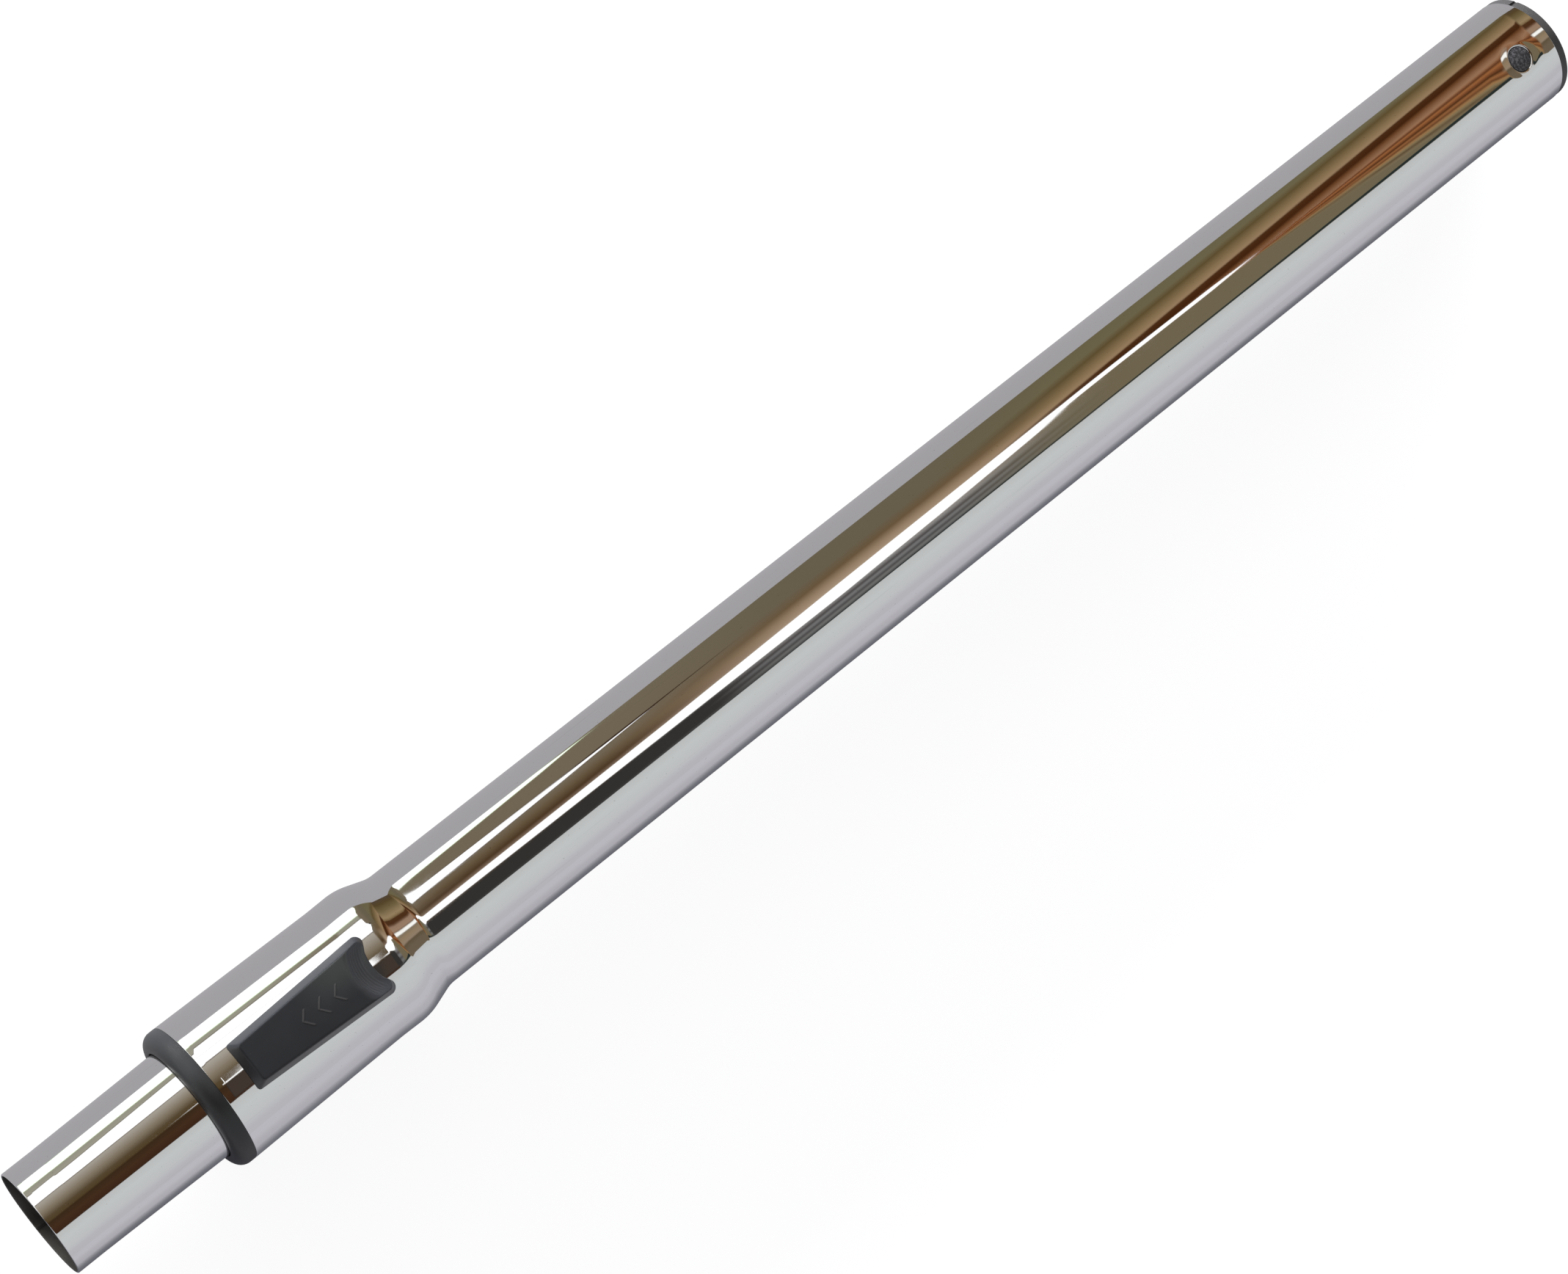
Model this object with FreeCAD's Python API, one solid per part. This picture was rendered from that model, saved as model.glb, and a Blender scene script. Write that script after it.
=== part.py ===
import FreeCAD, Part
import math
import os

# Telescopic vacuum wand with a sliding lock button, collapsed to its shortest length.
# Millimetres. The origin is the centre of the socket's mouth, +X runs along the wand
# towards the floor head and +Z points out of the lock button.

# Socket end, where the hose handle's spigot goes in
FLANGE_LENGTH = 3.0
FLANGE_RADIUS = 17.85
FLANGE_EDGE_CHAMFER = 0.5
SOCKET_RADIUS = 16.25
SOCKET_DEPTH = 38.0
SOCKET_EDGE_CHAMFER = 0.4
SPIGOT_STOP_STEP = 0.65
STOP_LAND_LENGTH = 11.9
LINER_SEAT_GAP = 0.03
FLANGE_NOTCH_WIDTH = 1.6
FLANGE_NOTCH_DEPTH = 0.7
FLANGE_NOTCH_ANGLE = 50.0
STUD_HOLE_RADIUS = 4.0
STUD_HOLE_DISTANCE = 13.4
STUD_HOLE_EDGE_RADIUS = 0.6
STUD_ANGLE = 3.0
STUD_GAP = 0.05
STUD_RECESS = 0.4

# Outer tube, with its bell swaged out at the lock end
OUTER_RADIUS = 18.0
OUTER_WALL = 0.7
SHOULDER_LENGTH = 9.2
SHOULDER_RADIUS = 21.05
SHOULDER_FOOT_ROUND = 10.0
SHOULDER_TOP_ROUND = 18.0
BEAD_LENGTH = 9.5
BELL_NECK_RADIUS = 20.84
BELL_MOUTH_RADIUS = 21.45
BELL_LENGTH = 50.1

# Inner tube, whose bare end is the spigot for the floor head
INNER_RADIUS = 16.6
INNER_WALL = 0.7
SPIGOT_BARE_LENGTH = 48.1
SPIGOT_TIP_RADIUS = 16.05
SPIGOT_LAND_LENGTH = 9.0
SPIGOT_CURL_LENGTH = 1.0
SPIGOT_CURL_DEPTH = 0.3
TAPER_HIDDEN_LENGTH = 2.0
TAIL_FLARE_RADIUS = 17.0
TAIL_FLARE_LENGTH = 1.2

# Row of lock notches pressed into the top of the inner tube, and the guide groove below
NOTCH_COUNT = 13
NOTCH_PITCH = 33.0
NOTCH_DEPTH = 1.1
NOTCH_ROUND = 1.6
GROOVE_DEPTH = 0.9
GROOVE_ROUND = 1.6
GROOVE_END_DISTANCE = 4.0

# Guide sleeve inside the bell
SLEEVE_INSET = 5.0
SLEEVE_PLAY = 0.08
SLEEVE_SEAT_GAP = 0.05
SLEEVE_BARREL_WALL = 1.3
SLEEVE_RIB_COUNT = 6
SLEEVE_RIB_WIDTH = 1.2
SLEEVE_RIB_FIRST_ANGLE = 55.0
REAR_FLANGE_LENGTH = 2.5
FRONT_FLANGE_LENGTH = 2.3
SLEEVE_SKIRT_GAP = 0.1
CHANNEL_FLOOR = 17.5
CHANNEL_HALF_WIDTH = 7.35
CHANNEL_WALL = 1.2
CHANNEL_BLOCK_DEPTH = 3.0
KEY_PLAY = 0.15
BUFFER_LENGTH = 1.5
BUFFER_WALL = 2.3
BUFFER_PLAY = 0.1

# Lock roller and the pressed steel cage that holds it across the tube
ROLLER_DISTANCE = 28.6
ROLLER_RADIUS = 1.5
ROLLER_HALF_LENGTH = 4.5
ROLLER_CHAMFER = 0.2
TRUNNION_RADIUS = 1.0
TRUNNION_HALF_LENGTH = 6.1
ROLLER_REST_GAP = 0.03
CAGE_THICKNESS = 0.7
CAGE_HALF_LENGTH = 5.0
CAGE_SIDE_GAP = 0.1
CAGE_TAB_HALF_LENGTH = 3.5
CAGE_TAB_GAP = 0.3
CAGE_TAB_HEIGHT = 1.95
CAGE_BEND_ROUND = 0.5
PEG_RADIUS = 0.5
PEG_DISTANCE = 3.0
PEG_SIDE_DISTANCE = 6.4
PEG_GAP = 0.05
RUNNING_GAP = 0.05
WINDOW_GAP = 0.15

# Lock slide under the button
SLIDE_TRAVEL = 6.0
LIFT_RATIO = 0.2
BLOCK_HALF_WIDTH = 4.4
BLOCK_TOP_GAP = 0.2
BLOCK_BEHIND = 13.0
BLOCK_AHEAD = 10.0
SLIDE_BEHIND = 20.0
SLIDE_AHEAD = 15.0
SLIDE_HALF_WIDTH = 7.1
SLIDE_BELL_GAP = 0.15
SLIDE_FLOOR_GAP = 0.1
SLIDE_REST_GAP = 0.1
SLIDE_CAGE_GAP = 0.2
RAMP_RUN_OUT = 2.0
RAMP_LAND_START = 1.5
CATCH_GROOVE_DEPTH = 0.5
CATCH_GROOVE_HEIGHT = 0.9
CATCH_GROOVE_DROP = 1.4

# Return spring in front of the lock slide
SPRING_RADIUS = 0.8
SPRING_WIRE_RADIUS = 0.2
SPRING_WIRE_SIDES = 4
SPRING_TURNS = 6
SPRING_HEIGHT = 18.95
SPRING_POCKET_DEPTH = 8.0
SPRING_POCKET_GAP = 0.14
SPRING_PEG_RADIUS = 0.5
SPRING_PEG_LENGTH = 3.0

# Lock button seen on top of the bell
BUTTON_LENGTH = 46.2
BUTTON_NOSE_GAP = 7.3
NOSE_HALF_WIDTH = 7.3
HORN_HALF_WIDTH = 9.4
NOSE_TOP_HALF_WIDTH = 5.7
HORN_TOP_HALF_WIDTH = 8.6
NOSE_SLOPE_LENGTH = 2.4
HORN_SLOPE_LENGTH = 0.6
BUTTON_FOOT = 18.4
NOSE_HEIGHT = 25.4
HORN_HEIGHT = 26.2
NOSE_CORNER_ROUND = 0.9
HORN_CORNER_ROUND = 2.6
BUTTON_EDGE_ROUND = 0.4
BUTTON_WALL = 1.5
BUTTON_BELL_GAP = 0.15
SCOOP_RADIUS = 16.0
SCOOP_TOP_DEPTH = 8.7
SCOOP_FOOT_DEPTH = 2.8
SCOOP_FOOT_HEIGHT = 21.3
SCOOP_OVERRUN = 3.0
CATCH_ARM_THICKNESS = 0.8
CATCH_ARM_GAP = 0.1
CATCH_ARM_BEHIND = 10.0
CATCH_ARM_AHEAD = 5.0
CHEVRON_COUNT = 3
CHEVRON_PITCH = 5.2
CHEVRON_LENGTH = 2.0
CHEVRON_WIDTH = 5.0
CHEVRON_LINE = 0.5
CHEVRON_ROOT = 0.25
CHEVRON_HEIGHT = 0.12
CHEVRON_DISTANCE = 19.4

# End collar and the wiper ring inside it
COLLAR_LENGTH = 5.2
COLLAR_NOSE_ROUND = 3.4
COLLAR_NOSE_STEPS = 4
COLLAR_LIP_LENGTH = 1.4
COLLAR_TUBE_GAP = 0.3
COLLAR_SKIRT_LENGTH = 3.2
COLLAR_SKIRT_RADIUS = 19.3
WIPER_LENGTH = 3.2
WIPER_PLAY = 0.04

# Glide shells and seal on the hidden tail of the inner tube
TAIL_SHELL_LENGTH = 20.0
TAIL_PLAY = 0.08
TAIL_SEAT_GAP = 0.02
TAIL_SPLIT_GAP = 0.4
TAIL_STUD_RADIUS = 2.5
TAIL_SEAL_LENGTH = 2.8
TAIL_SEAL_WALL = 0.4
END_PLAY = 0.3

# Side on which round faces close, clear of every hole, notch and groove
SEAM_ANGLE = 130.0

# Places along the wand that follow from the sizes above
TUBE_START = FLANGE_LENGTH
TRAVEL = (NOTCH_COUNT - 1) * NOTCH_PITCH
LINER_END = SOCKET_DEPTH + STOP_LAND_LENGTH
TAIL_START = LINER_END + END_PLAY
TAIL_SEAL_START = TAIL_START + TAIL_FLARE_LENGTH
TAIL_SHELL_START = TAIL_SEAL_START + TAIL_SEAL_LENGTH
TAIL_FRONT = TAIL_SHELL_START + TAIL_SHELL_LENGTH
STOP_FACE = TAIL_FRONT + TRAVEL + END_PLAY
SLEEVE_START = STOP_FACE + BUFFER_LENGTH
BEAD_X = SLEEVE_START - SLEEVE_INSET
SHOULDER_START = BEAD_X - SHOULDER_LENGTH
BELL_NECK_X = BEAD_X + BEAD_LENGTH
BELL_END = BELL_NECK_X + BELL_LENGTH
BELL_SLOPE = (BELL_MOUTH_RADIUS - BELL_NECK_RADIUS) / BELL_LENGTH
COLLAR_END = BELL_END + COLLAR_LENGTH
WAND_END = COLLAR_END + SPIGOT_BARE_LENGTH
ROLLER_X = BELL_END - ROLLER_DISTANCE
SKIRT_START = BELL_END - COLLAR_SKIRT_LENGTH
FRONT_FLANGE_END = SKIRT_START - SLEEVE_SKIRT_GAP
FRONT_FLANGE_START = FRONT_FLANGE_END - FRONT_FLANGE_LENGTH
WIPER_END = COLLAR_END - COLLAR_LIP_LENGTH
WIPER_START = WIPER_END - WIPER_LENGTH

NOTCH_FLOOR = INNER_RADIUS - NOTCH_DEPTH
ROLLER_Z = NOTCH_FLOOR + ROLLER_RADIUS + ROLLER_REST_GAP
CAGE_TOP = CHANNEL_FLOOR + CAGE_THICKNESS
TAB_INNER = ROLLER_HALF_LENGTH + CAGE_TAB_GAP
TAB_OUTER = TAB_INNER + CAGE_THICKNESS
SLIDE_START = ROLLER_X - SLIDE_BEHIND
SLIDE_END = ROLLER_X + SLIDE_AHEAD
CHANNEL_START = SLIDE_START - SLIDE_REST_GAP
BUTTON_NOSE_X = BELL_END - BUTTON_NOSE_GAP
BUTTON_HORN_X = BUTTON_NOSE_X - BUTTON_LENGTH
BLOCK_TOP = min(NOSE_HEIGHT, HORN_HEIGHT) - BUTTON_WALL - BLOCK_TOP_GAP
CATCH_HEIGHT = BLOCK_TOP - CATCH_GROOVE_DROP


def bell_radius(x):
    """Outer radius of the bell's cone at a place along the wand."""
    return BELL_NECK_RADIUS + BELL_SLOPE * (x - BELL_NECK_X)


def point(x, y, z):
    return FreeCAD.Vector(x, y, z)


def box(x_range, y_range, z_range):
    corner = point(x_range[0], y_range[0], z_range[0])
    size = [high - low for low, high in (x_range, y_range, z_range)]
    return Part.makeBox(size[0], size[1], size[2], corner)


def rod(radius, start, end):
    """Round rod between two points."""
    return Part.makeCylinder(radius, (end - start).Length, start, end - start)


def rounded_edges(corners, closed):
    """Straight lines and corner arcs through corners given as (x, z, corner radius)."""
    points = [point(x, 0, z) for x, z, _ in corners]
    count = len(points)
    first = 0 if closed else 1
    last = count if closed else count - 1
    runs = [] if closed else [(points[0], points[0], None)]
    for index in range(first, last):
        here = points[index]
        back = (points[index - 1] - here).normalize()
        ahead = (points[(index + 1) % count] - here).normalize()
        radius = corners[index][2]
        if radius == 0:
            runs.append((here, here, None))
            continue
        half_angle = back.getAngle(ahead) / 2
        reach = radius / math.tan(half_angle)
        centre = here + (back + ahead).normalize() * (radius / math.sin(half_angle))
        middle = centre + (here - centre).normalize() * radius
        runs.append((here + back * reach, here + ahead * reach, middle))
    if not closed:
        runs.append((points[-1], points[-1], None))
    edges = []
    for index, (start, end, middle) in enumerate(runs):
        if middle is not None:
            edges.append(Part.Arc(start, middle, end).toShape())
        if index + 1 < len(runs) or closed:
            following = runs[(index + 1) % len(runs)][0]
            edges.append(Part.makeLine(end, following))
    return edges


def turned(corners):
    """Solid of revolution around the wand's axis from closed corners (x, radius, round)."""
    wire = Part.Wire(rounded_edges(corners, closed=True))
    solid = Part.Face(wire).revolve(point(0, 0, 0), point(1, 0, 0), 360)
    solid.rotate(point(0, 0, 0), point(1, 0, 0), SEAM_ANGLE)
    return solid


def inset_corners(corners, wall):
    """The same open outline moved towards the axis by the wall thickness."""
    normals = []
    for (x0, z0, _), (x1, z1, _) in zip(corners, corners[1:]):
        length = math.hypot(x1 - x0, z1 - z0)
        normals.append(((z1 - z0) / length, (x0 - x1) / length))
    moved = [(corners[0][0], corners[0][1] + wall / normals[0][1], 0)]
    for (x, z, radius), before, after in zip(corners[1:-1], normals, normals[1:]):
        share = wall / (1 + before[0] * after[0] + before[1] * after[1])
        inner_x = x + share * (before[0] + after[0])
        inner_z = z + share * (before[1] + after[1])
        growth = -wall if before[0] > after[0] else wall
        moved.append((inner_x, inner_z, radius + growth if radius else 0))
    moved.append((corners[-1][0], corners[-1][1] + wall / normals[-1][1], 0))
    return moved


def tube_skin(corners):
    """Solid bounded by an open outline and the wand's axis."""
    start = (corners[0][0], 0, 0)
    end = (corners[-1][0], 0, 0)
    return turned([start] + list(corners) + [end])


def bell_cone(x_range, gap):
    """Cone that lies a gap inside the bell's inner wall."""
    inner = [(x, bell_radius(x) - OUTER_WALL - gap) for x in x_range]
    return Part.makeCone(
        inner[0][1], inner[1][1], x_range[1] - x_range[0], point(x_range[0], 0, 0), point(1, 0, 0)
    )


def ring(inner_radius, outer_radius, x_range):
    outer = rod(outer_radius, point(x_range[0], 0, 0), point(x_range[1], 0, 0))
    return outer.cut(rod(inner_radius, point(x_range[0], 0, 0), point(x_range[1], 0, 0)))


def mirrored(shape):
    """The shape and its copy on the other side of the wand's middle plane."""
    return shape.fuse(shape.mirror(point(0, 0, 0), point(0, 1, 0)))


def outer_tube():
    """Chromed steel tube with the swaged bell, the slide's window and the liner's stud hole."""
    outline = [
        (TUBE_START, OUTER_RADIUS, 0),
        (SHOULDER_START, OUTER_RADIUS, SHOULDER_FOOT_ROUND),
        (BEAD_X, SHOULDER_RADIUS, SHOULDER_TOP_ROUND),
        (BELL_NECK_X, BELL_NECK_RADIUS, 0),
        (BELL_END, BELL_MOUTH_RADIUS, 0),
    ]
    tube = tube_skin(outline).cut(tube_skin(inset_corners(outline, OUTER_WALL)))
    tube = tube.cut(liner_stud(STUD_HOLE_RADIUS))
    rim = [edge for edge in tube.Edges if is_hole_rim(edge)]
    tube = tube.makeFillet(STUD_HOLE_EDGE_RADIUS, rim)
    return tube.cut(slide_window())


def liner_stud(radius):
    """Round post out through the top of the tube, where the liner's stud sits."""
    x = TUBE_START + STUD_HOLE_DISTANCE
    post = rod(radius, point(x, 0, 0), point(x, 0, SHOULDER_RADIUS))
    post.rotate(point(0, 0, 0), point(1, 0, 0), -STUD_ANGLE)
    return post


def is_hole_rim(edge):
    """True for the stud hole's edge on the tube's outer face."""
    across = edge.BoundBox.YLength
    from_hole = edge.BoundBox.Center.x - TUBE_START - STUD_HOLE_DISTANCE
    outside = edge.BoundBox.ZMax > OUTER_RADIUS - OUTER_WALL / 2
    return abs(from_hole) < STUD_HOLE_RADIUS and outside and across > STUD_HOLE_RADIUS


def slide_window():
    """Slot in the bell's top that the lock slide's block passes through."""
    start = ROLLER_X - BLOCK_BEHIND - WINDOW_GAP
    end = ROLLER_X + BLOCK_AHEAD + SLIDE_TRAVEL + WINDOW_GAP
    half_width = BLOCK_HALF_WIDTH + WINDOW_GAP
    return box((start, end), (-half_width, half_width), (OUTER_RADIUS - OUTER_WALL, HORN_HEIGHT))


def socket_liner():
    """Plastic liner of the socket, with its flange, its stud in the tube and the spigot's stop."""
    seat = OUTER_RADIUS - OUTER_WALL - LINER_SEAT_GAP
    liner = turned([
        (0, SOCKET_RADIUS + SOCKET_EDGE_CHAMFER, 0),
        (0, FLANGE_RADIUS - FLANGE_EDGE_CHAMFER, 0),
        (FLANGE_EDGE_CHAMFER, FLANGE_RADIUS, 0),
        (FLANGE_LENGTH, FLANGE_RADIUS, 0),
        (FLANGE_LENGTH, seat, 0),
        (LINER_END, seat, 0),
        (LINER_END, SOCKET_RADIUS - SPIGOT_STOP_STEP, 0),
        (SOCKET_DEPTH, SOCKET_RADIUS - SPIGOT_STOP_STEP, 0),
        (SOCKET_DEPTH, SOCKET_RADIUS, 0),
        (SOCKET_EDGE_CHAMFER, SOCKET_RADIUS, 0),
    ])
    stud_wall = ring((SOCKET_RADIUS + seat) / 2, OUTER_RADIUS - STUD_RECESS, (TUBE_START, SOCKET_DEPTH))
    liner = liner.fuse(liner_stud(STUD_HOLE_RADIUS - STUD_GAP).common(stud_wall))
    half_notch = FLANGE_NOTCH_WIDTH / 2
    notch = box(
        (-FLANGE_LENGTH, FLANGE_LENGTH),
        (-half_notch, half_notch),
        (FLANGE_RADIUS - FLANGE_NOTCH_DEPTH, OUTER_RADIUS),
    )
    notch.rotate(point(0, 0, 0), point(1, 0, 0), FLANGE_NOTCH_ANGLE)
    return liner.cut(notch)


def pressed_in(radius_growth):
    """Cutters for the lock notches and the guide groove, grown by the tube's wall inside."""
    notch_radius = NOTCH_ROUND + radius_growth
    notch_z = NOTCH_FLOOR + NOTCH_ROUND
    groove_radius = GROOVE_ROUND + radius_growth
    groove_z = GROOVE_DEPTH - INNER_RADIUS - GROOVE_ROUND
    groove_end = point(BELL_END - GROOVE_END_DISTANCE, 0, groove_z)
    cutters = [
        rod(groove_radius, point(TAIL_START - groove_radius, 0, groove_z), groove_end),
        Part.makeSphere(groove_radius, groove_end),
    ]
    for number in range(NOTCH_COUNT):
        x = ROLLER_X - number * NOTCH_PITCH
        cutters.append(rod(notch_radius, point(x, -INNER_RADIUS, notch_z), point(x, INNER_RADIUS, notch_z)))
    return cutters


def inner_tube():
    """Chromed steel tube with the tapered spigot, the row of pressed notches and the groove."""
    outline = [
        (TAIL_START, TAIL_FLARE_RADIUS, 0),
        (TAIL_START + TAIL_FLARE_LENGTH, INNER_RADIUS, 0),
        (COLLAR_END - TAPER_HIDDEN_LENGTH, INNER_RADIUS, 0),
        (WAND_END - SPIGOT_LAND_LENGTH, SPIGOT_TIP_RADIUS, 0),
        (WAND_END - SPIGOT_CURL_LENGTH, SPIGOT_TIP_RADIUS, 0),
        (WAND_END, SPIGOT_TIP_RADIUS - SPIGOT_CURL_DEPTH, 0),
    ]
    outside = tube_skin(outline).cut(pressed_in(0))
    inside = tube_skin(inset_corners(outline, INNER_WALL)).cut(pressed_in(INNER_WALL))
    tube = outside.cut(inside)
    stud_x = (TAIL_SHELL_START + TAIL_FRONT) / 2
    stud_hole = rod(
        TAIL_STUD_RADIUS + TAIL_SEAT_GAP,
        point(stud_x, -OUTER_RADIUS, 0),
        point(stud_x, OUTER_RADIUS, 0),
    )
    return tube.cut(stud_hole)


def tail_shell(side):
    """Half of the glide on the inner tube's tail, with a stud through the tube's wall."""
    shell = ring(
        INNER_RADIUS + TAIL_SEAT_GAP,
        OUTER_RADIUS - OUTER_WALL - TAIL_PLAY,
        (TAIL_SHELL_START, TAIL_FRONT),
    )
    half = box(
        (TAIL_SHELL_START, TAIL_FRONT),
        (TAIL_SPLIT_GAP / 2, OUTER_RADIUS),
        (-OUTER_RADIUS, OUTER_RADIUS),
    )
    stud_x = (TAIL_SHELL_START + TAIL_FRONT) / 2
    stud = rod(
        TAIL_STUD_RADIUS,
        point(stud_x, INNER_RADIUS - INNER_WALL, 0),
        point(stud_x, INNER_RADIUS + TAIL_PLAY, 0),
    )
    shell = shell.common(half).fuse(stud)
    return shell if side > 0 else shell.mirror(point(0, 0, 0), point(0, 1, 0))


def tail_seal():
    """Soft cone ring between the tube's flared end and the glide shells, widening to its lip."""
    root = INNER_RADIUS + TAIL_SEAT_GAP
    lip = OUTER_RADIUS - OUTER_WALL - LINER_SEAT_GAP
    return turned([
        (TAIL_SEAL_START, root, 0),
        (TAIL_SEAL_START, root + TAIL_SEAL_WALL, 0),
        (TAIL_SHELL_START, lip, 0),
        (TAIL_SHELL_START, root, 0),
    ])


def guide_sleeve():
    """Moulded sleeve in the bell: barrel, flanges, ribs and the channel of the lock slide."""
    fit = bell_cone((SLEEVE_START, FRONT_FLANGE_END), SLEEVE_SEAT_GAP)
    bore_radius = INNER_RADIUS + SLEEVE_PLAY
    barrel_radius = bore_radius + SLEEVE_BARREL_WALL
    block_half_width = CHANNEL_HALF_WIDTH + CHANNEL_WALL
    stock = [
        rod(SHOULDER_RADIUS, point(SLEEVE_START, 0, 0), point(SLEEVE_START + REAR_FLANGE_LENGTH, 0, 0)),
        rod(SHOULDER_RADIUS, point(FRONT_FLANGE_START, 0, 0), point(FRONT_FLANGE_END, 0, 0)),
        box(
            (SLEEVE_START, FRONT_FLANGE_END),
            (-block_half_width, block_half_width),
            (barrel_radius - CHANNEL_BLOCK_DEPTH, SHOULDER_RADIUS),
        ),
    ]
    rib_step = (360 - 2 * SLEEVE_RIB_FIRST_ANGLE) / (SLEEVE_RIB_COUNT - 1)
    for number in range(SLEEVE_RIB_COUNT):
        rib = box(
            (SLEEVE_START, FRONT_FLANGE_END),
            (-SLEEVE_RIB_WIDTH / 2, SLEEVE_RIB_WIDTH / 2),
            (bore_radius, SHOULDER_RADIUS),
        )
        rib.rotate(point(0, 0, 0), point(1, 0, 0), SLEEVE_RIB_FIRST_ANGLE + number * rib_step)
        stock.append(rib)
    barrel = rod(barrel_radius, point(SLEEVE_START, 0, 0), point(FRONT_FLANGE_END, 0, 0))
    neck_radius = COLLAR_SKIRT_RADIUS - SLEEVE_SEAT_GAP
    neck = rod(neck_radius, point(FRONT_FLANGE_END, 0, 0), point(WIPER_START, 0, 0))
    body = barrel.fuse(stock).common(fit).fuse(neck)
    body = body.cut(rod(bore_radius, point(SLEEVE_START, 0, 0), point(WIPER_START, 0, 0)))
    channel = box(
        (CHANNEL_START, FRONT_FLANGE_START),
        (-CHANNEL_HALF_WIDTH, CHANNEL_HALF_WIDTH),
        (CHANNEL_FLOOR, HORN_HEIGHT),
    )
    half_window = ROLLER_RADIUS + RUNNING_GAP
    window_width = TRUNNION_HALF_LENGTH + CAGE_SIDE_GAP
    roller_window = box(
        (ROLLER_X - half_window, ROLLER_X + half_window),
        (-window_width, window_width),
        (0, HORN_HEIGHT),
    )
    body = body.cut([channel, roller_window])
    return body.fuse([sleeve_key()] + sleeve_pegs()).removeSplitter()


def sleeve_key():
    """Rib on the bottom of the sleeve's bore that runs in the inner tube's groove."""
    key_z = GROOVE_DEPTH - INNER_RADIUS - GROOVE_ROUND
    key = rod(
        GROOVE_ROUND - KEY_PLAY,
        point(SLEEVE_START + REAR_FLANGE_LENGTH, 0, key_z),
        point(FRONT_FLANGE_START, 0, key_z),
    )
    limit = rod(INNER_RADIUS + SLEEVE_BARREL_WALL, point(SLEEVE_START, 0, 0), point(WIPER_START, 0, 0))
    return key.common(limit)


def sleeve_pegs():
    """Pegs for the roller cage on the channel's floor and for the spring on its front wall."""
    spring_seat = point(FRONT_FLANGE_END, 0, SPRING_HEIGHT)
    spring_peg_end = point(FRONT_FLANGE_START - SPRING_PEG_LENGTH, 0, SPRING_HEIGHT)
    pegs = [rod(SPRING_PEG_RADIUS, spring_peg_end, spring_seat)]
    for x, y in cage_peg_places():
        pegs.append(rod(PEG_RADIUS, point(x, y, CHANNEL_FLOOR - PEG_RADIUS), point(x, y, CAGE_TOP)))
    return pegs


def cage_peg_places():
    places = []
    for side in (-1, 1):
        for end in (-1, 1):
            places.append((ROLLER_X + end * PEG_DISTANCE, side * PEG_SIDE_DISTANCE))
    return places


def roller_cage():
    """Pressed steel plate in the channel, with four bent tabs that guide the roller."""
    half_width = CHANNEL_HALF_WIDTH - CAGE_SIDE_GAP
    x_range = (ROLLER_X - CAGE_HALF_LENGTH, ROLLER_X + CAGE_HALF_LENGTH)
    plate = box(x_range, (-half_width, half_width), (CHANNEL_FLOOR, CAGE_TOP))
    opening = box(
        (ROLLER_X - CAGE_TAB_HALF_LENGTH, ROLLER_X + CAGE_TAB_HALF_LENGTH),
        (-TAB_INNER, TAB_INNER),
        (CHANNEL_FLOOR, CAGE_TOP),
    )
    tab = box(
        (ROLLER_X - CAGE_TAB_HALF_LENGTH, ROLLER_X + CAGE_TAB_HALF_LENGTH),
        (TAB_INNER, TAB_OUTER),
        (CHANNEL_FLOOR, CHANNEL_FLOOR + CAGE_TAB_HEIGHT),
    )
    cage = plate.cut(opening).fuse(mirrored(tab)).removeSplitter()
    bends = [edge for edge in cage.Edges if is_bend(edge)]
    cage = cage.makeFillet(CAGE_BEND_ROUND, bends)
    slot_half = TRUNNION_RADIUS + RUNNING_GAP
    slot_width = TRUNNION_HALF_LENGTH + CAGE_SIDE_GAP
    slot = box(
        (ROLLER_X - slot_half, ROLLER_X + slot_half),
        (-slot_width, slot_width),
        (CHANNEL_FLOOR, HORN_HEIGHT),
    )
    cutters = [slot]
    for x, y in cage_peg_places():
        cutters.append(rod(PEG_RADIUS + PEG_GAP, point(x, y, CHANNEL_FLOOR), point(x, y, CAGE_TOP)))
    return cage.cut(cutters)


def is_bend(edge):
    """True for the cage's lower edges where the tabs turn up."""
    middle = edge.BoundBox.Center
    along = edge.BoundBox.XLength > CAGE_TAB_HALF_LENGTH
    low = edge.BoundBox.ZMax < CHANNEL_FLOOR + CAGE_THICKNESS / 2
    return along and low and abs(abs(middle.y) - TAB_INNER) < CAGE_TAB_GAP


def lock_roller():
    """Steel roller with a thinner trunnion at each end, lying across the tube."""
    def across(radius, half_length):
        start = point(ROLLER_X, -half_length, ROLLER_Z)
        return rod(radius, start, point(ROLLER_X, half_length, ROLLER_Z))

    barrel = across(ROLLER_RADIUS, ROLLER_HALF_LENGTH)
    barrel = barrel.makeChamfer(ROLLER_CHAMFER, barrel.Edges)
    return barrel.fuse(across(TRUNNION_RADIUS, TRUNNION_HALF_LENGTH))


def ramp_height(distance):
    """Height of the slide's ramp at a distance ahead of the roller's axis, at rest."""
    steepness = math.hypot(1, LIFT_RATIO)
    return ROLLER_Z + (ROLLER_RADIUS + ROLLER_REST_GAP) * steepness - LIFT_RATIO * distance


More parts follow.
